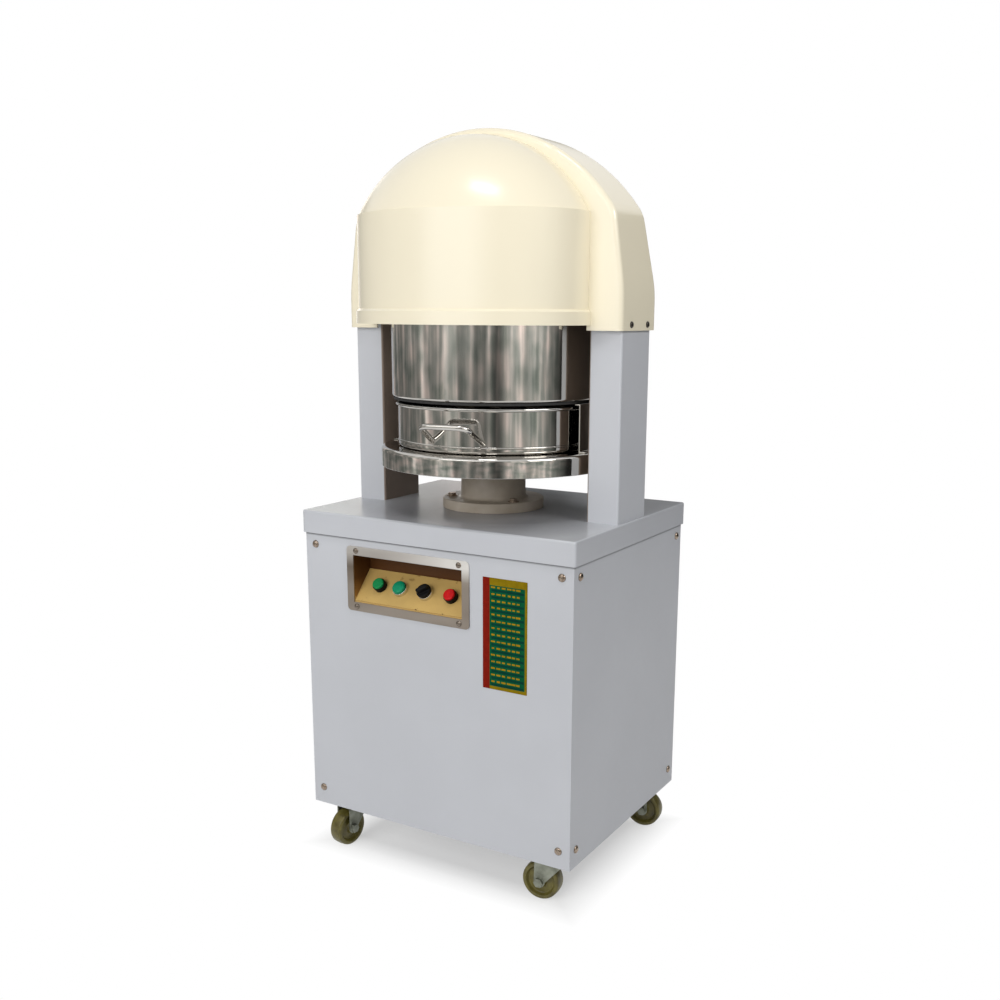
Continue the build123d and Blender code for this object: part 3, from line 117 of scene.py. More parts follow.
world = bpy.data.worlds.new("studio")
scene.world = world
world.use_nodes = True
room = world.node_tree
room_light = room.nodes["Background"]
room_light.inputs["Color"].default_value = (1, 1, 1, 1)
room_light.inputs["Strength"].default_value = 0.28
white_wall = add(room, "ShaderNodeBackground", {"Color": (1, 1, 1, 1)})
seen = add(room, "ShaderNodeLightPath")
direct = maths(room, "MAXIMUM", seen["Is Camera Ray"], seen["Is Transmission Ray"])
mirrored = maths(room, "MAXIMUM", direct, seen["Is Glossy Ray"])
wall_or_light = add(room, "ShaderNodeMixShader",
                    {0: mirrored, 1: room_light.outputs[0], 2: white_wall[0]})
room.links.new(wall_or_light[0], room.nodes["World Output"].inputs["Surface"])
soft_box("front_soft_box", (-0.3, -3.0, 1.7), (0, 0, 0.8), width=2.4, depth=1.8, power=51)
soft_box("right_soft_box", (1.8, -0.45, 2.05), (0, 0, 1.9), width=0.9, depth=0.6, power=16.5)
soft_box("rear_soft_box", (-2.3, 2.5, 0.9), (0, 0, 0.8), width=1.2, depth=1.2, power=30)
soft_box("overhead_strip", (0.2, -0.96, 2.92), (0.1, -0.22, 1.28), width=0.6, depth=0.25, power=6.5)


# Floor. A pale sheet that takes the machine's shadow near its wheels. Farther out it is plain white,
# so that its edge doesn't show.
def linear(red, green, blue):
    """Colour of a paint chip read as 0-255, in the linear values that shaders take."""
    shares = (red / 255, green / 255, blue / 255)
    return tuple(c / 12.92 if c <= 10 / 255 else ((c + 0.055) / 1.055) ** 2.4 for c in shares)


def shade(colour, share):
    """A colour made darker or lighter."""
    return tuple(min(1.0, c * share) for c in colour)


def new_finish(name, colour, roughness, metallic=0.0, specular=0.5):
    """A plain finish: its material, node tree, shader and the piece's own coordinates."""
    material = bpy.data.materials.new(name)
    material.use_nodes = True
    tree = material.node_tree
    shader = tree.nodes["Principled BSDF"]
    shader.inputs["Base Color"].default_value = (*colour, 1)
    shader.inputs["Roughness"].default_value = roughness
    shader.inputs["Metallic"].default_value = metallic
    shader.inputs["Specular IOR Level"].default_value = specular
    place = add(tree, "ShaderNodeTexCoord")["Object"]
    return material, tree, shader, place


def grain(tree, place, scale, detail=3.0, stretch=(1, 1, 1)):
    """Noise over the piece, stretched along some axes; gives values round 0.5."""
    spot = add(tree, "ShaderNodeMapping", {"Vector": place, "Scale": stretch})["Vector"]
    return add(tree, "ShaderNodeTexNoise", {"Vector": spot, "Scale": scale, "Detail": detail})["Fac"]


def graded(tree, value, *stops):
    """Colour ramp over a value. Each stop is a place from 0 to 1 and a linear colour."""
    ramp = tree.nodes.new("ShaderNodeValToRGB")
    elements = ramp.color_ramp.elements
    while len(elements) < len(stops):
        elements.new(1.0)
    for element, (spot, colour) in zip(elements, stops):
        element.position = spot
        element.color = (*colour, 1)
    tree.links.new(value, ramp.inputs["Fac"])
    return ramp.outputs["Color"]


def spread(tree, value, low, high, from_low=0.3, from_high=0.7):
    """Map a value from one range to another; the first range suits noise."""
    ranges = {"From Min": from_low, "From Max": from_high, "To Min": low, "To Max": high}
    return add(tree, "ShaderNodeMapRange", {"Value": value, **ranges})["Result"]


def scaled(tree, colour, share):
    """A colour times a number."""
    return add(tree, "ShaderNodeVectorMath", {0: colour, "Scale": share}, operation="SCALE")["Vector"]


def mixed(tree, share, first, second):
    """A colour between two."""
    inputs = {"Factor": share, "A": first, "B": second}
    return add(tree, "ShaderNodeMix", inputs, data_type="RGBA")["Result"]


def split_axes(tree, place):
    """The X, Y and Z of coordinates."""
    return add(tree, "ShaderNodeSeparateXYZ", {"Vector": place})


def paint_with(tree, shader, colour):
    """Give a shader its colour from another node."""
    tree.links.new(colour, shader.inputs["Base Color"])


def roughen(tree, shader, value, low, high):
    """Vary a shader's roughness with a noise value."""
    tree.links.new(spread(tree, value, low, high), shader.inputs["Roughness"])


def relief(tree, shader, height, strength, depth):
    """Bump from a height value, with its depth in metres."""
    bump = add(tree, "ShaderNodeBump", {"Height": height, "Strength": strength, "Distance": depth})
    tree.links.new(bump["Normal"], shader.inputs["Normal"])


def circle(radius, sides):
    """Points round a circle, as pairs."""
    return [(radius * cos(2 * pi * k / sides), radius * sin(2 * pi * k / sides)) for k in range(sides)]


def new_piece(name, mesh):
    """A mesh as an object at the origin."""
    piece = bpy.data.objects.new(name, mesh)
    scene.collection.objects.link(piece)
    return piece


floor_radius = 9.0
floor_sides = 96
shadow_half = (0.29, 0.23)
fade_inside = 0.06
fade_outside = 0.03
floor_mesh = bpy.data.meshes.new("floor")
floor_rim = [(x, y, 0) for x, y in circle(floor_radius, floor_sides)]
floor_mesh.from_pydata(floor_rim, [], [list(range(floor_sides))])
floor = new_piece("floor", floor_mesh)
floor_finish, tree, shader, place = new_finish("floor_sheet", (0.85, 0.85, 0.85),
                                               roughness=0.8, specular=0.2)
axes = split_axes(tree, place)
outside = [spread(tree, maths(tree, "ABSOLUTE", axes[axis]), 0.42, 1.0,
                  half - fade_inside, half + fade_outside)
           for axis, half in zip("XY", shadow_half)]
far = maths(tree, "MAXIMUM", *outside)
seen = add(tree, "ShaderNodeLightPath")
looked_at = maths(tree, "MAXIMUM", seen["Is Camera Ray"], seen["Is Glossy Ray"])
white_share = maths(tree, "MULTIPLY", far, looked_at)
white = add(tree, "ShaderNodeEmission", {"Color": (1, 1, 1, 1)})
fade = add(tree, "ShaderNodeMixShader",
           {0: white_share, 1: shader.outputs["BSDF"], 2: white["Emission"]})
tree.links.new(fade["Shader"], tree.nodes["Material Output"].inputs["Surface"])
floor_mesh.materials.append(floor_finish)

# Workshop ring. The polished steel needs something to mirror, so a ring of wall stands round the
# studio with pale and dark bays and a few bright gaps. Only reflections show it.
ring_radius = 2.8
ring_height = 2.2
ring_sides = 96
bays = ((-180, 175), (-174, 200), (-169, 250), (-156, 250), (-150, 130), (-128, 120), (-90, 150),
        (-85, 210), (-80, 150), (-60, 160), (-54, 215), (-46, 210), (-41, 135), (-30, 175), (-22, 130),
        (-14, 130), (-10, 170), (-3, 95), (1, 95), (6, 165), (18, 215), (26, 190), (36, 220), (44, 205),
        (60, 115), (67, 40), (95, 40), (112, 90), (121, 60))
ring_round = circle(ring_radius, ring_sides)
ring_mesh = bpy.data.meshes.new("workshop_ring")
ring_mesh.from_pydata([(x, y, z) for z in (0.0, ring_height) for x, y in ring_round], [],
                      [(i, (i + 1) % ring_sides, ring_sides + (i + 1) % ring_sides, ring_sides + i)
                       for i in range(ring_sides)])
ring = new_piece("workshop_ring", ring_mesh)
ring.rotation_euler = (0, 0, atan2(camera_place.y, camera_place.x))
ring_finish, tree, shader, place = new_finish("workshop_wall", (0.3, 0.3, 0.3), roughness=1.0)
axes = split_axes(tree, place)
bearing = maths(tree, "ARCTAN2", axes["Y"], axes["X"])
wall_paint = graded(tree, spread(tree, bearing, 0, 1, -pi, pi),
                    *[((turn + 180) / 360, linear(tone, tone, tone)) for turn, tone in bays])
streaks = graded(tree, grain(tree, place, 3.6, 4, (1, 1, 0.25)),
                 (0.34, (0.6, 0.65, 0.62)), (0.5, (1.05, 1.06, 1.02)), (0.63, (1.9, 1.76, 1.7)))
patches = graded(tree, grain(tree, place, 5.0, 4, (0.3, 0.3, 1.5)),
                 (0.36, (0.62, 0.68, 0.64)), (0.5, (1.02, 1.02, 1.0)), (0.64, (1.36, 1.24, 1.2)))
upper = spread(tree, axes["Z"], 1.0, 1.3, from_low=0.7, from_high=0.95)
far_side = spread(tree, axes["X"], 0.8, 0.0, -0.985 * ring_radius, -0.93 * ring_radius)
overhead = spread(tree, axes["Z"], 0.0, 1.0, from_low=1.12, from_high=1.24)
soffit = maths(tree, "MULTIPLY", far_side, overhead)
open_wall = spread(tree, soffit, 1.0, 0.0, from_low=0.0, from_high=1.0)
for layer in (streaks, patches, upper, open_wall):
    wall_paint = vector_maths(tree, "MULTIPLY", wall_paint, layer)
glow = add(tree, "ShaderNodeEmission", {"Color": wall_paint})
tree.links.new(glow["Emission"], tree.nodes["Material Output"].inputs["Surface"])
ring_mesh.materials.append(ring_finish)
ring.visible_camera = False
ring.visible_diffuse = False
ring.visible_shadow = False
ring.visible_transmission = False


# Casters. Zinc-plated pressed plates and forks are bolted under the base plate, and olive moulded
# wheels run on a bolt through each fork.
def smooth_faces(mesh, angle=35):
    """Shade a mesh smooth, with its corners kept sharp."""
    for face in mesh.polygons:
        face.use_smooth = True
    mesh.set_sharp_from_angle(angle=radians(angle))


def dress(node, finish, bevel=0.0, steps=2):
    """Put a finish on a CAD piece. With a bevel, a merged copy with softened edges stands in for it."""
    piece = frame["nodes"][node]
    if bevel > 0:
        solid = bmesh.new()
        solid.from_mesh(piece.data)
        bmesh.ops.remove_doubles(solid, verts=solid.verts, dist=1e-6)
        bmesh.ops.dissolve_limit(solid, angle_limit=radians(1.0), verts=solid.verts, edges=solid.edges)
        mesh = bpy.data.meshes.new(f"{node}_dressed")
        solid.to_mesh(mesh)
        solid.free()
        piece = new_piece(f"{node}_dressed", mesh)
        soften = piece.modifiers.new("edges", "BEVEL")
        soften.width = bevel
        soften.segments = steps
        soften.limit_method = "ANGLE"
        soften.angle_limit = radians(40)
        smooth_faces(mesh)
        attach(piece, body_of[node])
        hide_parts(node)
    piece.data.materials.clear()
    piece.data.materials.append(finish)


def rounded(corners, steps=6):
    """Outline from corners (a, b, radius): each corner with a radius becomes an arc."""
    points = []
    count = len(corners)
    for index, (a, b, radius) in enumerate(corners):
        here = Vector((a, b))
        before = Vector(corners[index - 1][:2]) - here
        after = Vector(corners[(index + 1) % count][:2]) - here
        if radius <= 0 or before.length < 1e-9 or after.length < 1e-9:
            points.append((a, b))
            continue
        half = before.angle(after) / 2
        run = radius / tan(half)
        start = here + before.normalized() * run
        middle = here + (before.normalized() + after.normalized()).normalized() * (radius / sin(half))
        begin = start - middle
        sweep = pi - 2 * half
        turn = 1 if before.x * after.y - before.y * after.x < 0 else -1
        for step in range(steps + 1):
            angle = turn * sweep * step / steps
            spoke = Vector((begin.x * cos(angle) - begin.y * sin(angle),
                            begin.x * sin(angle) + begin.y * cos(angle)))
            points.append(tuple(middle + spoke))
    return points


def lathe(name, outline, place=Matrix.Identity(4), segments=160):
    """Turn a closed outline of (radius, height) about the local Z axis of a place."""
    verts, rings, faces = [], [], []
    for radius, height in outline:
        if radius < 1e-7:
            rings.append([len(verts)])
            verts.append(place @ Vector((0, 0, height)))
            continue
        rings.append(list(range(len(verts), len(verts) + segments)))
        verts.extend(place @ Vector((x, y, height)) for x, y in circle(radius, segments))
    for low, high in zip(rings, rings[1:] + rings[:1]):
        if len(low) == 1 and len(high) == 1:
            continue
        for k in range(segments):
            n = (k + 1) % segments
            if len(low) == 1:
                faces.append((low[0], high[n], high[k]))
            elif len(high) == 1:
                faces.append((low[k], low[n], high[0]))
            else:
                faces.append((low[k], low[n], high[n], high[k]))
    mesh = bpy.data.meshes.new(name)
    mesh.from_pydata(verts, [], faces)
    solid = bmesh.new()
    solid.from_mesh(mesh)
    bmesh.ops.remove_doubles(solid, verts=solid.verts, dist=1e-7)
    bmesh.ops.recalc_face_normals(solid, faces=solid.faces)
    solid.to_mesh(mesh)
    solid.free()
    smooth_faces(mesh)
    return new_piece(name, mesh)


def axis_place(spot, axis):
    """A place at a spot whose Z axis runs along an axis."""
    return Matrix.Translation(spot) @ Vector(axis).to_track_quat("Z", "Y").to_matrix().to_4x4()


zinc_colour = linear(130, 133, 120)
zinc, tree, shader, place = new_finish("zinc_plate", zinc_colour, roughness=0.4, metallic=0.6)
paint_with(tree, shader, graded(tree, grain(tree, place, 55, 4), (0.32, linear(104, 106, 94)),
                                (0.5, zinc_colour), (0.7, linear(148, 151, 138))))
roughen(tree, shader, grain(tree, place, 160, 4), 0.32, 0.5)
relief(tree, shader, grain(tree, place, 900, 2), strength=0.08, depth=0.0002)

olive_colour = linear(96, 88, 32)
olive, tree, shader, place = new_finish("olive_wheel", olive_colour, roughness=0.4)
scuff = grain(tree, place, 60, 4)
paint_with(tree, shader, graded(tree, scuff, (0.3, linear(76, 68, 22)), (0.5, olive_colour),
                                (0.75, linear(114, 106, 48))))
roughen(tree, shader, scuff, 0.32, 0.5)
relief(tree, shader, grain(tree, place, 420, 3), strength=0.06, depth=0.0002)

tyre = 0.0375
tyre_half = 0.014
flank = 0.0285
web = 0.007
hub = 0.013
hub_half = 0.0152
bore = 0.0061
crown_round = 0.02
near_side = [(bore, hub_half, 0), (hub - 0.002, hub_half, 0.001), (hub, web + 0.003, 0.0015),
             (flank - 0.003, web, 0.003), (flank + 0.001, tyre_half, 0.0015),
             (tyre - 0.001, tyre_half, 0.0045)]
other_side = [(radius, -height, corner) for radius, height, corner in reversed(near_side)]
wheel_outline = rounded(near_side + [(tyre, 0.0, crown_round)] + other_side)
dress("caster_plates", zinc, bevel=0.0008)
dress("caster_bolts", zinc, bevel=0.0006)
for corner in ("front_left", "front_right", "rear_left", "rear_right"):
    dress(f"{corner}_fork", zinc, bevel=0.0008)
    roll = joints[f"{corner}_roll"]
    hub_place = axis_place(roll["pos_m"], roll["axis"])
    wheel = lathe(f"{corner}_wheel_turned", wheel_outline, hub_place, segments=96)
    wheel.data.materials.append(olive)
    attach(wheel, roll["child"])
    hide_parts(f"{corner}_wheel")

# Frame, drive and dividing head, all but hidden by panels, drum and hood. Square tube and plate in
# grey primer, a painted motor, bright shafts, pulleys and knives, bronze bushes, a rubber belt and
# white press segments.
primer, tree, shader, place = new_finish("grey_primer", linear(112, 114, 118), roughness=0.62)
paint_with(tree, shader, graded(tree, grain(tree, place, 14, 5), (0.35, linear(98, 100, 104)),
                                (0.65, linear(124, 126, 130))))
relief(tree, shader, grain(tree, place, 500, 3), strength=0.15, depth=0.0004)
for node in ("base_frame", "base_plate", "drive_bridge", "head_plate", "press_beam", "crosshead"):
    dress(node, primer)

bright, tree, shader, place = new_finish("ground_steel", linear(190, 188, 184),
                                         roughness=0.28, metallic=1.0)
roughen(tree, shader, grain(tree, place, 60, 4, (1, 1, 12)), 0.2, 0.38)
relief(tree, shader, grain(tree, place, 220, 3, (1, 1, 14)), strength=0.1, depth=0.0002)
for node in ("lift_rods", "lead_screw", "nut_pulley", "motor_pulley", "guide_pins", "press_disc",
             "knife_carrier", "knife_grid"):
    dress(node, bright)

bronze, tree, shader, place = new_finish("bush_bronze", linear(178, 140, 82),
                                         roughness=0.38, metallic=1.0)
roughen(tree, shader, grain(tree, place, 90, 4), 0.3, 0.5)
dress("guide_bushes", bronze)

black_rubber, tree, shader, place = new_finish("black_rubber", linear(22, 22, 22), roughness=0.7)
paint_with(tree, shader, graded(tree, grain(tree, place, 120, 4), (0.3, linear(14, 14, 14)),
                                (0.7, linear(36, 35, 34))))
relief(tree, shader, grain(tree, place, 700, 3), strength=0.2, depth=0.0003)
dress("drive_belt", black_rubber)

motor_paint, tree, shader, place = new_finish("motor_paint", linear(72, 88, 104), roughness=0.5)
paint_with(tree, shader, graded(tree, grain(tree, place, 30, 5), (0.3, linear(60, 75, 90)),
                                (0.7, linear(84, 100, 116))))
relief(tree, shader, grain(tree, place, 350, 3), strength=0.2, depth=0.0005)
dress("motor", motor_paint)

press_white, tree, shader, place = new_finish("press_white", linear(226, 225, 220), roughness=0.45)
paint_with(tree, shader, graded(tree, grain(tree, place, 40, 4), (0.3, linear(214, 212, 204)),
                                (0.7, linear(232, 231, 227))))
dress("press_segments", press_white)

# Cabinet sheet metal. Panels, folded worktop and posts are steel sheet with a light blue-grey stove
# enamel with a fine orange-peel skin. A painted shadow lies under the worktop's rim. The worktop has
# more gloss and a painted shadow round the pedestal; the posts' inner faces are a darker brown-grey.
enamel_colour = linear(195, 197, 202)


def stove_enamel(name, smooth, rough):
    """Enamel between two roughness values: what new_finish gives, and its mottled colour."""
    finish, tree, shader, place = new_finish(name, enamel_colour, smooth, specular=0.45)
    skin = graded(tree, grain(tree, place, 3.0, 4), (0.3, shade(enamel_colour, 0.95)),
                  (0.7, shade(enamel_colour, 1.03)))
    roughen(tree, shader, grain(tree, place, 90, 3), smooth, rough)
    relief(tree, shader, grain(tree, place, 460, 2), strength=0.05, depth=0.0004)
    return finish, tree, shader, place, skin


# The panels are painted darker just under the worktop's rim and behind it: a painted shadow of the
# rim's overhang.
rim_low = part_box("worktop")[0].z
rim_shadow_low = rim_low - 0.0055
rim_shadow_high = rim_low - 0.002
panel_enamel, tree, shader, place, skin = stove_enamel("panel_enamel", 0.4, 0.46)
rim_shadow = spread(tree, split_axes(tree, place)["Z"], 1.0, 0.36, rim_shadow_low, rim_shadow_high)
paint_with(tree, shader, scaled(tree, skin, rim_shadow))
for node in ("front_panel", "rear_panel", "left_panel", "right_panel"):
    dress(node, panel_enamel, bevel=0.0006)

# A painted shadow darkens the worktop's top round the pedestal, where the tray and drum above shade it.
# Scaling heights by rim_guard keeps it off the rim.
rim_guard = 40
pedestal_shadow_middle = (0.04, -0.1, rim_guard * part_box("worktop")[1].z)
pedestal_shadow_core = 0.12
pedestal_shadow_edge = 0.25
top_enamel, tree, shader, place, skin = stove_enamel("worktop_enamel", 0.22, 0.25)
guarded = vector_maths(tree, "MULTIPLY", place, (1, 1, rim_guard))
from_pedestal_shadow = vector_maths(tree, "DISTANCE", guarded, pedestal_shadow_middle, "Value")
pedestal_shadow = spread(tree, from_pedestal_shadow, 0.5, 1.0, pedestal_shadow_core, pedestal_shadow_edge)
paint_with(tree, shader, scaled(tree, skin, pedestal_shadow))
dress("worktop", top_enamel)

# The posts' faces that point inwards, towards the drum, are painted a darker brown-grey.
inner_face_tone = (*linear(136, 121, 110), 1)
for node, inward in (("left_post", 1), ("right_post", -1)):
    post_enamel, tree, shader, place, skin = stove_enamel(f"{node}_enamel", 0.4, 0.46)
    normal = add(tree, "ShaderNodeTexCoord")["Normal"]
    facing_in = vector_maths(tree, "DOT_PRODUCT", normal, (inward, 0, 0), "Value")
    inner_share = spread(tree, facing_in, 0, 1, from_low=0.1, from_high=0.35)
    paint_with(tree, shader, mixed(tree, inner_share, skin, inner_face_tone))
    dress(node, post_enamel)


# Panel screws. Dome-head screws with a dark plating, four to a panel, go through the sheet into the
# frame. The same shape in other sizes holds the bezel and the hood.
def new_group(name, **inputs):
    """A node group that turns points into a mesh: its tree, its inputs and the socket of its result."""
    tree = bpy.data.node_groups.new(name, "GeometryNodeTree")
    for label, kind in {"Geometry": "Geometry", **inputs}.items():
        tree.interface.new_socket(label, in_out="INPUT", socket_type=f"NodeSocket{kind}")
    tree.interface.new_socket("Geometry", in_out="OUTPUT", socket_type="NodeSocketGeometry")
    return tree, add(tree, "NodeGroupInput"), tree.nodes.new("NodeGroupOutput").inputs["Geometry"]


def grow(name, spots, facings, group, **values):
    """Points that each face some way, turned by a node group into a piece with a plain mesh."""
    mesh = bpy.data.meshes.new(name)
    mesh.from_pydata(spots, [], [])
    facing = mesh.attributes.new("facing", "FLOAT_VECTOR", "POINT")
    for item, direction in zip(facing.data, facings):
        item.vector = direction
    piece = new_piece(name, mesh)
    modifier = piece.modifiers.new("grow", "NODES")
    modifier.node_group = group
    for item in group.interface.items_tree:
        if item.name in values:
            modifier[item.identifier] = values[item.name]
    result = bpy.data.meshes.new_from_object(piece.evaluated_get(bpy.context.evaluated_depsgraph_get()))
    piece.modifiers.clear()
    piece.data = result
    return piece


def joined(tree, *parts):
    """Several geometries as one."""
    node = tree.nodes.new("GeometryNodeJoinGeometry")
    for part in parts:
        tree.links.new(part, node.inputs["Geometry"])
    return node.outputs["Geometry"]


def set_on_points(tree, points, shape, finish, scale=(1, 1, 1)):
    """Set a shape on each point, turned to its facing, as one real mesh with a material."""
    facing = add(tree, "GeometryNodeInputNamedAttribute", {"Name": "facing"}, data_type="FLOAT_VECTOR")
    align = add(tree, "FunctionNodeAlignRotationToVector", {"Vector": facing["Attribute"]}, axis="Z")
    put = add(tree, "GeometryNodeInstanceOnPoints", {"Points": points, "Instance": shape,
                                                     "Rotation": align["Rotation"], "Scale": scale})
    real = add(tree, "GeometryNodeRealizeInstances", {"Geometry": put["Instances"]})
    forget = add(tree, "GeometryNodeRemoveAttribute", {"Geometry": real["Geometry"], "Name": "facing"})
    smooth = add(tree, "GeometryNodeSetShadeSmooth", {"Geometry": forget["Geometry"]})
    painted = add(tree, "GeometryNodeSetMaterial", {"Geometry": smooth["Geometry"], "Material": finish})
    return painted["Geometry"]


dome_sides = 28
dome_tree, entry, leave = new_group("dome_screws", Radius="Float", Height="Float", Finish="Material")
ball = add(dome_tree, "GeometryNodeMeshUVSphere", {"Segments": dome_sides, "Rings": 16, "Radius": 1.0})
where = add(dome_tree, "GeometryNodeInputPosition")["Position"]
below = add(dome_tree, "FunctionNodeCompare", {"A": split_axes(dome_tree, where)["Z"], "B": -0.01},
            operation="LESS_THAN")
dome = add(dome_tree, "GeometryNodeDeleteGeometry",
           {"Geometry": ball["Mesh"], "Selection": below["Result"]})
seat = add(dome_tree, "GeometryNodeMeshCircle", {"Vertices": dome_sides, "Radius": 1.0},
           fill_type="NGON")
turned_seat = add(dome_tree, "GeometryNodeFlipFaces", {"Mesh": seat["Mesh"]})
closed = add(dome_tree, "GeometryNodeMergeByDistance",
             {"Geometry": joined(dome_tree, dome["Geometry"], turned_seat["Mesh"]), "Distance": 0.001})
proportion = add(dome_tree, "ShaderNodeCombineXYZ",
                 {"X": entry["Radius"], "Y": entry["Radius"], "Z": entry["Height"]})
head = add(dome_tree, "GeometryNodeTransform",
           {"Geometry": closed["Geometry"], "Scale": proportion["Vector"]})
screws = set_on_points(dome_tree, entry["Geometry"], head["Geometry"], entry["Finish"])
dome_tree.links.new(screws, leave)


def dome_screws(node, spots, facings, radius, height, finish):
    """Dome-head screws at the given spots, in place of a CAD node."""
    piece = grow(f"{node}_domes", spots, facings, dome_tree,
                 Radius=radius, Height=height, Finish=finish)
    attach(piece, body_of[node])
    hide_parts(node)


def solid_centres(node):
    """Middle of each separate solid in a CAD node."""
    solid = bmesh.new()
    solid.from_mesh(frame["nodes"][node].data)
    bmesh.ops.remove_doubles(solid, verts=solid.verts, dist=1e-6)
    left = set(solid.verts)
    middles = []
    while left:
        group, edge = set(), [left.pop()]
        while edge:
            vert = edge.pop()
            group.add(vert)
            for link in vert.link_edges:
                other = link.other_vert(vert)
                if other in left:
                    left.discard(other)
                    edge.append(other)
        low = Vector(min(v.co[i] for v in group) for i in range(3))
        high = Vector(max(v.co[i] for v in group) for i in range(3))
        middles.append((low + high) / 2)
    solid.free()
    return sorted(middles, key=lambda p: (round(p.z, 4), round(p.y, 4), round(p.x, 4)))


screw_brown, tree, shader, place = new_finish("brown_plating", linear(150, 136, 122),
                                              roughness=0.22, metallic=1.0)
paint_with(tree, shader, graded(tree, grain(tree, place, 300, 4), (0.35, linear(128, 112, 98)),
                                (0.65, linear(166, 152, 138))))
roughen(tree, shader, grain(tree, place, 500, 3), 0.16, 0.3)
front_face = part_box("front_panel")[0].y
side_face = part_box("right_panel")[1].x
side_band = 0.012
spots, facings = [], []
for middle in solid_centres("panel_screws"):
    if abs(middle.x) > side_face - side_band:
        facing = Vector((1 if middle.x > 0 else -1, 0, 0))
        spot = Vector((facing.x * side_face, middle.y, middle.z))
    else:
        facing = Vector((0, 1 if middle.y > 0 else -1, 0))
        spot = Vector((middle.x, -facing.y * front_face, middle.z))
    spots.append(spot)
    facings.append(facing)
dome_screws("panel_screws", spots, facings, radius=0.0075, height=0.0046, finish=screw_brown)

# Control recess. A brushed stainless bezel frames a bent box with gold-beige paint, and a sloping
# plate inside it carries the switches. Use has worn brown specks through the plate's paint.
bezel_low, bezel_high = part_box("control_bezel")
# Below its top band the bezel is painted darker and browner: a painted reflection.
painted_reflection_low = bezel_high.z - 0.04
painted_reflection_high = bezel_high.z - 0.014
satin, tree, shader, place = new_finish("brushed_stainless", linear(196, 190, 184),
                                        roughness=0.3, metallic=1.0)
sheen = graded(tree, grain(tree, place, 7, 2, (0.5, 1, 1.6)), (0.35, linear(188, 182, 176)),
               (0.5, linear(212, 207, 202)), (0.65, linear(236, 233, 229)))
rise = spread(tree, split_axes(tree, place)["Z"], 0, 1, painted_reflection_low, painted_reflection_high)
painted_reflection = graded(tree, rise, (0.0, (0.4, 0.36, 0.32)), (1.0, (1.0, 1.0, 1.0)))
paint_with(tree, shader, vector_maths(tree, "MULTIPLY", sheen, painted_reflection))
roughen(tree, shader, grain(tree, place, 300, 2, (0.05, 1, 3)), 0.28, 0.32)
dress("control_bezel", satin, bevel=0.0012, steps=3)

screw_bright, tree, shader, place = new_finish("nickel_screw", linear(126, 116, 106),
                                               roughness=0.18, metallic=1.0)
roughen(tree, shader, grain(tree, place, 600, 3), 0.12, 0.26)
spots = [Vector((middle.x, bezel_low.y, middle.z)) for middle in solid_centres("bezel_screws")]
facings = [Vector((0, -1, 0))] * len(spots)
dome_screws("bezel_screws", spots, facings, radius=0.0056, height=0.0038, finish=screw_bright)

# The box is its gold paint at the lower edge. Above that its colour runs to dark brown, a painted shade
# of the recess's unlit upper inside.
box_low, box_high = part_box("control_box")
box_paint_and_shade, tree, shader, place = new_finish("gold_paint_and_painted_shade", linear(98, 60, 26),
                                            roughness=0.42, specular=0.15)
rise = spread(tree, split_axes(tree, place)["Z"], 0, 1, box_low.z, box_high.z)
paint_with(tree, shader, graded(tree, rise, (0.04, linear(196, 164, 104)), (0.14, linear(150, 108, 52)),
                                (0.5, linear(90, 55, 23)), (0.9, linear(80, 48, 20))))
roughen(tree, shader, grain(tree, place, 22, 5, (0.5, 1, 1)), 0.36, 0.5)
relief(tree, shader, grain(tree, place, 500, 3), strength=0.05, depth=0.0003)
dress("control_box", box_paint_and_shade, bevel=0.0005)

gold_colour = linear(196, 163, 97)
chip_brown = (*linear(96, 62, 26), 1)
plate_low, plate_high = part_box("button_plate")
worn_gold, tree, shader, place = new_finish("worn_gold_paint", gold_colour,
                                            roughness=0.4, specular=0.25)
ground = graded(tree, grain(tree, place, 16, 5, (0.6, 1, 1)), (0.3, shade(gold_colour, 0.84)),
                (0.7, shade(gold_colour, 1.08)))
chips = graded(tree, grain(tree, place, 120, 5, (0.55, 1, 1)), (0.62, (0, 0, 0)), (0.68, (1, 1, 1)))
height = split_axes(tree, place)["Z"]
sill = spread(tree, height, 1.0, 0.0, plate_low.z + 0.002, plate_low.z + 0.009)
crest = spread(tree, height, 0.0, 0.55, plate_high.z - 0.016, plate_high.z - 0.006)
worn = maths(tree, "MULTIPLY", chips, maths(tree, "MAXIMUM", sill, crest))
paint_with(tree, shader, mixed(tree, worn, ground, chip_brown))
relief(tree, shader, grain(tree, place, 420, 3), strength=0.1, depth=0.0003)
dress("button_plate", worn_gold, bevel=0.0004)

# Switches. Moulded bodies clamp through the plate. The two push buttons sit in black collars, the
# lamp button and the selector in chromed rings. The contactor box in the cabinet is the same black.
black_plastic, tree, shader, place = new_finish("black_moulding", linear(14, 13, 13),
                                                roughness=0.36, specular=0.12)
paint_with(tree, shader, graded(tree, grain(tree, place, 200, 4), (0.3, linear(6, 6, 7)),
                                (0.7, linear(14, 13, 14))))
relief(tree, shader, grain(tree, place, 1500, 2), strength=0.1, depth=0.0002)
dress("switch_bodies", black_plastic, bevel=0.0006)
dress("selector_knob", black_plastic, bevel=0.0012, steps=3)
dress("contactor_box", black_plastic)
plate_normal = Vector(joints["selector_turn"]["axis"])


def join(name, pieces):
    """Several pieces as one mesh object."""
    whole = bmesh.new()
    for piece in pieces:
        whole.from_mesh(piece.data)
        bpy.data.objects.remove(piece)
    mesh = bpy.data.meshes.new(name)
    whole.to_mesh(mesh)
    whole.free()
    smooth_faces(mesh)
    return new_piece(name, mesh)


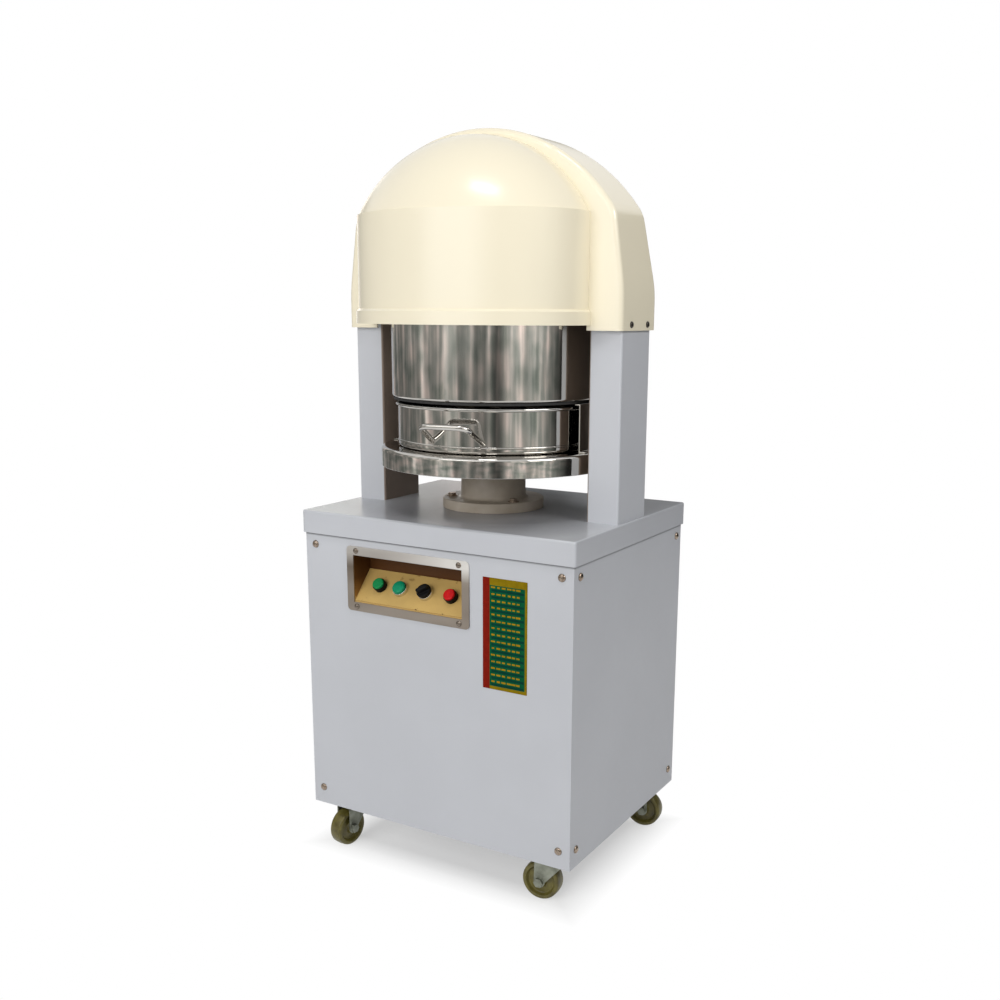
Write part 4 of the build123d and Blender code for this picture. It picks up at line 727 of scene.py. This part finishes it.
ring_inside = 0.0135
ring_half = 0.004
ring_outline = rounded([(ring_inside, -ring_half, 0.0003), (0.0156, -ring_half, 0.0006),
                        (0.0145, ring_half, 0.0005), (ring_inside, ring_half, 0.0004)])
ring_chrome, tree, shader, place = new_finish("ring_chrome", linear(214, 212, 208),
                                              roughness=0.1, metallic=1.0)
roughen(tree, shader, grain(tree, place, 400, 3), 0.07, 0.18)
rings = join("chrome_rings_turned",
             [lathe(f"ring_{k}", ring_outline, axis_place(middle, plate_normal), segments=64)
              for k, middle in enumerate(solid_centres("chrome_rings"))])
rings.data.materials.append(ring_chrome)
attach(rings, "base")
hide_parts("chrome_rings")

push_half = 0.00525
push_radius = 0.0115
push_outline = rounded([(0, -push_half, 0), (push_radius, -push_half, 0.0004),
                        (push_radius, push_half, 0.0018),
                        (push_radius - 0.0035, push_half - 0.0003, 0.002), (0, push_half - 0.0009, 0)])
lamp_half = 0.00435
lamp_radius = 0.0132
lamp_outline = rounded([(0, -lamp_half, 0), (lamp_radius, -lamp_half, 0.0004),
                        (lamp_radius, lamp_half - 0.0012, 0.0024), (lamp_radius / 2, lamp_half, 0.02),
                        (0, lamp_half, 0)])
for node, colour, outline, half in (("green_button", linear(0, 132, 70), push_outline, push_half),
                                    ("red_button", linear(204, 16, 20), push_outline, push_half),
                                    ("lamp_button", linear(0, 138, 98), lamp_outline, lamp_half)):
    cap_finish, tree, shader, place = new_finish(f"{node}_moulding", colour,
                                                 roughness=0.3, specular=0.2)
    paint_with(tree, shader, graded(tree, grain(tree, place, 160, 4), (0.3, shade(colour, 0.82)),
                                    (0.7, shade(colour, 1.1))))
    roughen(tree, shader, grain(tree, place, 700, 3), 0.24, 0.4)
    corners = [v.co for v in frame["nodes"][node].data.vertices]
    foot = min(c.dot(plate_normal) for c in corners)
    rim = [c for c in corners if c.dot(plate_normal) < foot + 1e-5]
    rim_middle = Vector((min(c[i] for c in rim) + max(c[i] for c in rim)) / 2 for i in range(3))
    cap_place = axis_place(rim_middle + half * plate_normal, plate_normal)
    cap = lathe(f"{node}_cap", outline, cap_place, segments=64)
    cap.data.materials.append(cap_finish)
    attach(cap, body_of[node])
    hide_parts(node)

# Chart plate. A thin printed aluminium plate beside the controls: a red column, a gold border and
# teal rows with orange marks for piece weights. The marks are plain dashes.
chart_low, chart_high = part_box("weight_chart")
chart_width = chart_high.x - chart_low.x
chart_tall = chart_high.z - chart_low.z
chart_rows = 15
column_right = 0.155
field_low = 0.03
field_high = 0.935
field_right = 0.95
row_pitch = (field_high - field_low) / chart_rows
stripe_left = 0.2
stripe_right = 0.93
stripe_low = 0.08
stripe_high = 0.42
first_print = 0.00006
second_print = 0.00012
mark_lift = 0.0002


def print_finish(name, red, green, blue):
    """Printing ink with slight fading."""
    colour = linear(red, green, blue)
    ink, tree, shader, place = new_finish(name, colour, roughness=0.6, specular=0.05)
    paint_with(tree, shader, graded(tree, grain(tree, place, 90, 5), (0.3, shade(colour, 0.82)),
                                    (0.7, shade(colour, 1.08))))
    return ink


def print_patch(name, left, right, low, high, lift, ink):
    """A thin patch of print on the chart, placed by shares of its width and height."""
    x0, x1 = (chart_low.x + share * chart_width for share in (left, right))
    z0, z1 = (chart_low.z + share * chart_tall for share in (low, high))
    mesh = bpy.data.meshes.new(name)
    mesh.from_pydata([(x, y, z) for y in (chart_low.y, chart_low.y - lift)
                      for x, z in ((x0, z0), (x1, z0), (x1, z1), (x0, z1))], [],
                     [(4, 5, 6, 7), (0, 4, 7, 3), (1, 2, 6, 5), (3, 7, 6, 2), (0, 1, 5, 4),
                      (3, 2, 1, 0)])
    mesh.materials.append(ink)
    piece = new_piece(name, mesh)
    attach(piece, "base")


dress("weight_chart", print_finish("gold_ink", 134, 112, 6))
print_patch("chart_red_column", 0.0, column_right, 0.0, 1.0, first_print,
            print_finish("red_ink", 128, 24, 8))
print_patch("chart_field", column_right, field_right, field_low, field_high, first_print,
            print_finish("teal_ink", 0, 84, 50))
stripe_ink = print_finish("deep_teal_ink", 0, 58, 46)
for row in range(chart_rows):
    low = field_low + (row + stripe_low) * row_pitch
    high = field_low + (row + stripe_high) * row_pitch
    print_patch(f"chart_stripe_{row}", stripe_left, stripe_right, low, high, second_print, stripe_ink)

mark_tree, entry, leave = new_group("chart_marks", Width="Float", Height="Float", Ink="Material")
dash = add(mark_tree, "GeometryNodeMeshGrid",
           {"Vertices X": 2, "Vertices Y": 2, "Size X": entry["Width"], "Size Y": entry["Height"]})
vary = add(mark_tree, "FunctionNodeRandomValue",
           {"Min": (0.7, 0.85, 1.0), "Max": (1.25, 1.1, 1.0), "Seed": 7}, data_type="FLOAT_VECTOR")
dashes = set_on_points(mark_tree, entry["Geometry"], dash["Mesh"], entry["Ink"], vary["Value"])
mark_tree.links.new(dashes, leave)
mark_columns = (0.235, 0.36, 0.475, 0.6, 0.7, 0.8)
mark_in_row = 0.72
spots = [Vector((chart_low.x + column * chart_width, chart_low.y - mark_lift,
                 chart_low.z + (field_low + (row + mark_in_row) * row_pitch) * chart_tall))
         for row in range(chart_rows) for column in mark_columns]
marks = grow("chart_marks", spots, [Vector((0, -1, 0))] * len(spots), mark_tree,
             Width=0.0072, Height=0.0031, Ink=print_finish("orange_ink", 164, 126, 4))
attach(marks, "base")

# Pedestal. A grey-brown painted casting, flange and column in one, bolted through the worktop with
# hexagon bolts; it carries the tray.
foot_low, foot_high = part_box("pedestal")
foot_middle = (foot_low.x + foot_high.x) / 2
flange_radius = 0.1
flange_high = foot_low.z + 0.019
column_radius = 0.064
column_inside = 0.05
crown_under = foot_high.z - 0.012
casting, tree, shader, place = new_finish("painted_casting", linear(164, 148, 129), roughness=0.5)
paint_with(tree, shader, graded(tree, grain(tree, place, 26, 6), (0.3, linear(158, 146, 130)),
                                (0.55, linear(170, 159, 144)), (0.75, linear(181, 170, 157))))
roughen(tree, shader, grain(tree, place, 60, 4), 0.45, 0.68)
relief(tree, shader, grain(tree, place, 180, 5), strength=0.25, depth=0.0007)
pedestal_outline = rounded([(column_inside, foot_low.z, 0), (flange_radius, foot_low.z, 0.001),
                            (flange_radius, flange_high, 0.0022), (column_radius, flange_high, 0.007),
                            (column_radius, foot_high.z, 0.0005), (0, foot_high.z, 0),
                            (0, crown_under, 0), (column_inside, crown_under, 0.004)])
pedestal = lathe("pedestal_casting", pedestal_outline, Matrix.Translation((foot_middle, 0, 0)))
pedestal.data.materials.append(casting)
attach(pedestal, "base")
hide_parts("pedestal")

washer_thick = 0.0016
hex_tree, entry, leave = new_group("hexagon_bolts", Radius="Float", Height="Float", Washer="Float",
                                   Finish="Material")
head = add(hex_tree, "GeometryNodeMeshCylinder", {"Vertices": 6, "Radius": entry["Radius"],
                                                  "Depth": entry["Height"]})
washer = add(hex_tree, "GeometryNodeMeshCylinder", {"Vertices": 28, "Radius": entry["Washer"],
                                                    "Depth": washer_thick})
half_head = maths(hex_tree, "MULTIPLY", entry["Height"], 0.5)
head_rise = add(hex_tree, "ShaderNodeCombineXYZ", {"Z": half_head})
raised_head = add(hex_tree, "GeometryNodeTransform",
                  {"Geometry": head["Mesh"], "Translation": head_rise["Vector"]})
raised_washer = add(hex_tree, "GeometryNodeTransform",
                    {"Geometry": washer["Mesh"], "Translation": (0, 0, washer_thick / 2)})
bolt = joined(hex_tree, raised_head["Geometry"], raised_washer["Geometry"])
hex_tree.links.new(set_on_points(hex_tree, entry["Geometry"], bolt, entry["Finish"]), leave)


def hexagon_bolts(node, level_z, up, radius, height, washer, finish):
    """Hexagon heads and washers at the middle of each bolt of a CAD node, on a level face."""
    spots = [Vector((middle.x, middle.y, level_z)) for middle in solid_centres(node)]
    piece = grow(f"{node}_heads", spots, [Vector((0, 0, up))] * len(spots), hex_tree,
                 Radius=radius, Height=height, Washer=washer, Finish=finish)
    smooth_faces(piece.data, 30)
    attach(piece, body_of[node])
    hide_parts(node)


hexagon_bolts("pedestal_bolts", flange_high, 1, radius=0.0085, height=0.0064, washer=0.0105,
              finish=screw_brown)

# Tray, guide rails and pan. Spun stainless steel with a mirror polish: a turned-down tray, a pan with
# a rolled rim and a foot bead, and two Z-section rails folded from sheet.
polish_colour = linear(196, 193, 188)
mirror, tree, shader, place = new_finish("mirror_stainless", polish_colour, roughness=0.1, metallic=1.0)
# Vertical streaks in the steel's colour are polish marks and partly a painted reflection of the
# workshop's bands.
polish_streaks_and_reflection = grain(tree, place, 9, 5, (1, 1, 0.25))
paint_with(tree, shader, graded(tree, polish_streaks_and_reflection, (0.3, shade(polish_colour, 0.78)), (0.6, polish_colour),
                                (0.8, shade(polish_colour, 1.08))))
roughen(tree, shader, grain(tree, place, 14, 6, (1, 1, 0.5)), 0.03, 0.1)
relief(tree, shader, grain(tree, place, 8, 3, (1, 1, 0.45)), strength=0.15, depth=0.004)


def arc(middle_a, middle_b, radius, start, end, steps=8):
    """Points of an arc in an outline; angles in degrees from the a axis."""
    angles = [radians(start + (end - start) * k / steps) for k in range(steps + 1)]
    return [(middle_a + radius * cos(angle), middle_b + radius * sin(angle)) for angle in angles]


tray_low, tray_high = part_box("tray")
tray_sheet = 0.0025
tray_radius = tray_high.x
tray_inside = tray_radius - tray_sheet
tray_under = tray_high.z - tray_sheet
tray_outline = rounded([(0, tray_under, 0), (0, tray_high.z, 0), (tray_radius, tray_high.z, 0.008),
                        (tray_radius, tray_low.z, 0.001), (tray_inside, tray_low.z, 0.001),
                        (tray_inside, tray_under, 0.0055)], 10)
tray = lathe("tray_spun", tray_outline, segments=256)
tray.data.materials.append(mirror)
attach(tray, "base")
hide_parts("tray")
dress("guide_rails", mirror, bevel=0.0008, steps=3)

pan_low, pan_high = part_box("dough_pan")
pan_radius = 0.196
pan_inside = pan_radius - 0.002
pan_floor = pan_low.z + 0.003
outer_round = 0.007
inner_round = 0.005
rim_bead = 0.0036
foot_bead = 0.0022
foot_z = pan_low.z + 0.013
rim_z = pan_high.z - rim_bead
pan_outline = ([(0, pan_low.z)]
               + arc(pan_radius - outer_round, pan_low.z + outer_round, outer_round, -90, 0)
               + arc(pan_radius - 0.001, foot_z, foot_bead, -63, 63)
               + arc(pan_radius + 0.0006, rim_z, rim_bead, -99.6, 223.8, 28)
               + arc(pan_inside - inner_round, pan_floor + inner_round, inner_round, 0, -90)
               + [(0, pan_floor)])
pan = lathe("pan_spun", pan_outline, segments=256)
pan.data.materials.append(mirror)
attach(pan, "pan")
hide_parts("dough_pan")

# Pan handle. A bent stainless rod with the pan's own polish, welded to the pan wall at both ends and
# rising outwards.
dress("pan_handle", mirror)

# Drum. A fixed polished skirt hung from the head plate by bolts through its flange; its lower edge
# curls in over a black rubber seal that stops flour.
drum_low, drum_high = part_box("drum")
drum_radius = 0.206
drum_sheet = 0.002
skirt_in = drum_radius - drum_sheet
curl_in = drum_radius - 0.006
curl_top = drum_low.z + drum_sheet
flange_in = skirt_in - 0.022
flange_under = drum_high.z - 0.003
drum_outline = rounded([(drum_radius, drum_high.z, 0), (flange_in, drum_high.z, 0),
                        (flange_in, flange_under, 0), (skirt_in, flange_under, 0.001),
                        (skirt_in, curl_top, 0.0038), (curl_in, curl_top, 0), (curl_in, drum_low.z, 0),
                        (drum_radius, drum_low.z, 0.0058)], 10)
drum = lathe("drum_skirt", drum_outline, segments=256)
drum.data.materials.append(mirror)
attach(drum, "base")
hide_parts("drum")
hexagon_bolts("head_bolts", flange_under, -1, radius=0.0065, height=0.0055, washer=0.0078,
              finish=zinc)
dress("drum_seal", black_rubber)

# Hood. A glossy cream moulding over the press beam, screwed to the posts at its sides with black
# dome screws.
cream_colour = linear(241, 232, 207)
cream, tree, shader, place = new_finish("cream_gelcoat", cream_colour, roughness=0.26)
shader.inputs["Coat Weight"].default_value = 0.27
shader.inputs["Coat Roughness"].default_value = 0.14
paint_with(tree, shader, graded(tree, grain(tree, place, 1.6, 1), (0.3, shade(cream_colour, 0.985)),
                                (0.7, cream_colour)))
roughen(tree, shader, grain(tree, place, 700, 2), 0.25, 0.27)
relief(tree, shader, grain(tree, place, 260, 1), strength=0.006, depth=0.0002)
dress("hood", cream)
hood_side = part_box("hood")[1].x
screw_black, tree, shader, place = new_finish("black_screw", linear(64, 60, 56),
                                              roughness=0.3, metallic=0.8)
roughen(tree, shader, grain(tree, place, 500, 3), 0.22, 0.42)
spots, facings = [], []
for middle in solid_centres("hood_screws"):
    facing = Vector((1 if middle.x > 0 else -1, 0, 0))
    spots.append(Vector((facing.x * hood_side, middle.y, middle.z)))
    facings.append(facing)
dome_screws("hood_screws", spots, facings, radius=0.006, height=0.0036, finish=screw_black)

# Cable gland. A black nylon gland low on the rear panel, where the supply lead goes in. It has the
# same moulded finish as the switches.
dress("cable_gland", black_plastic, bevel=0.0008)
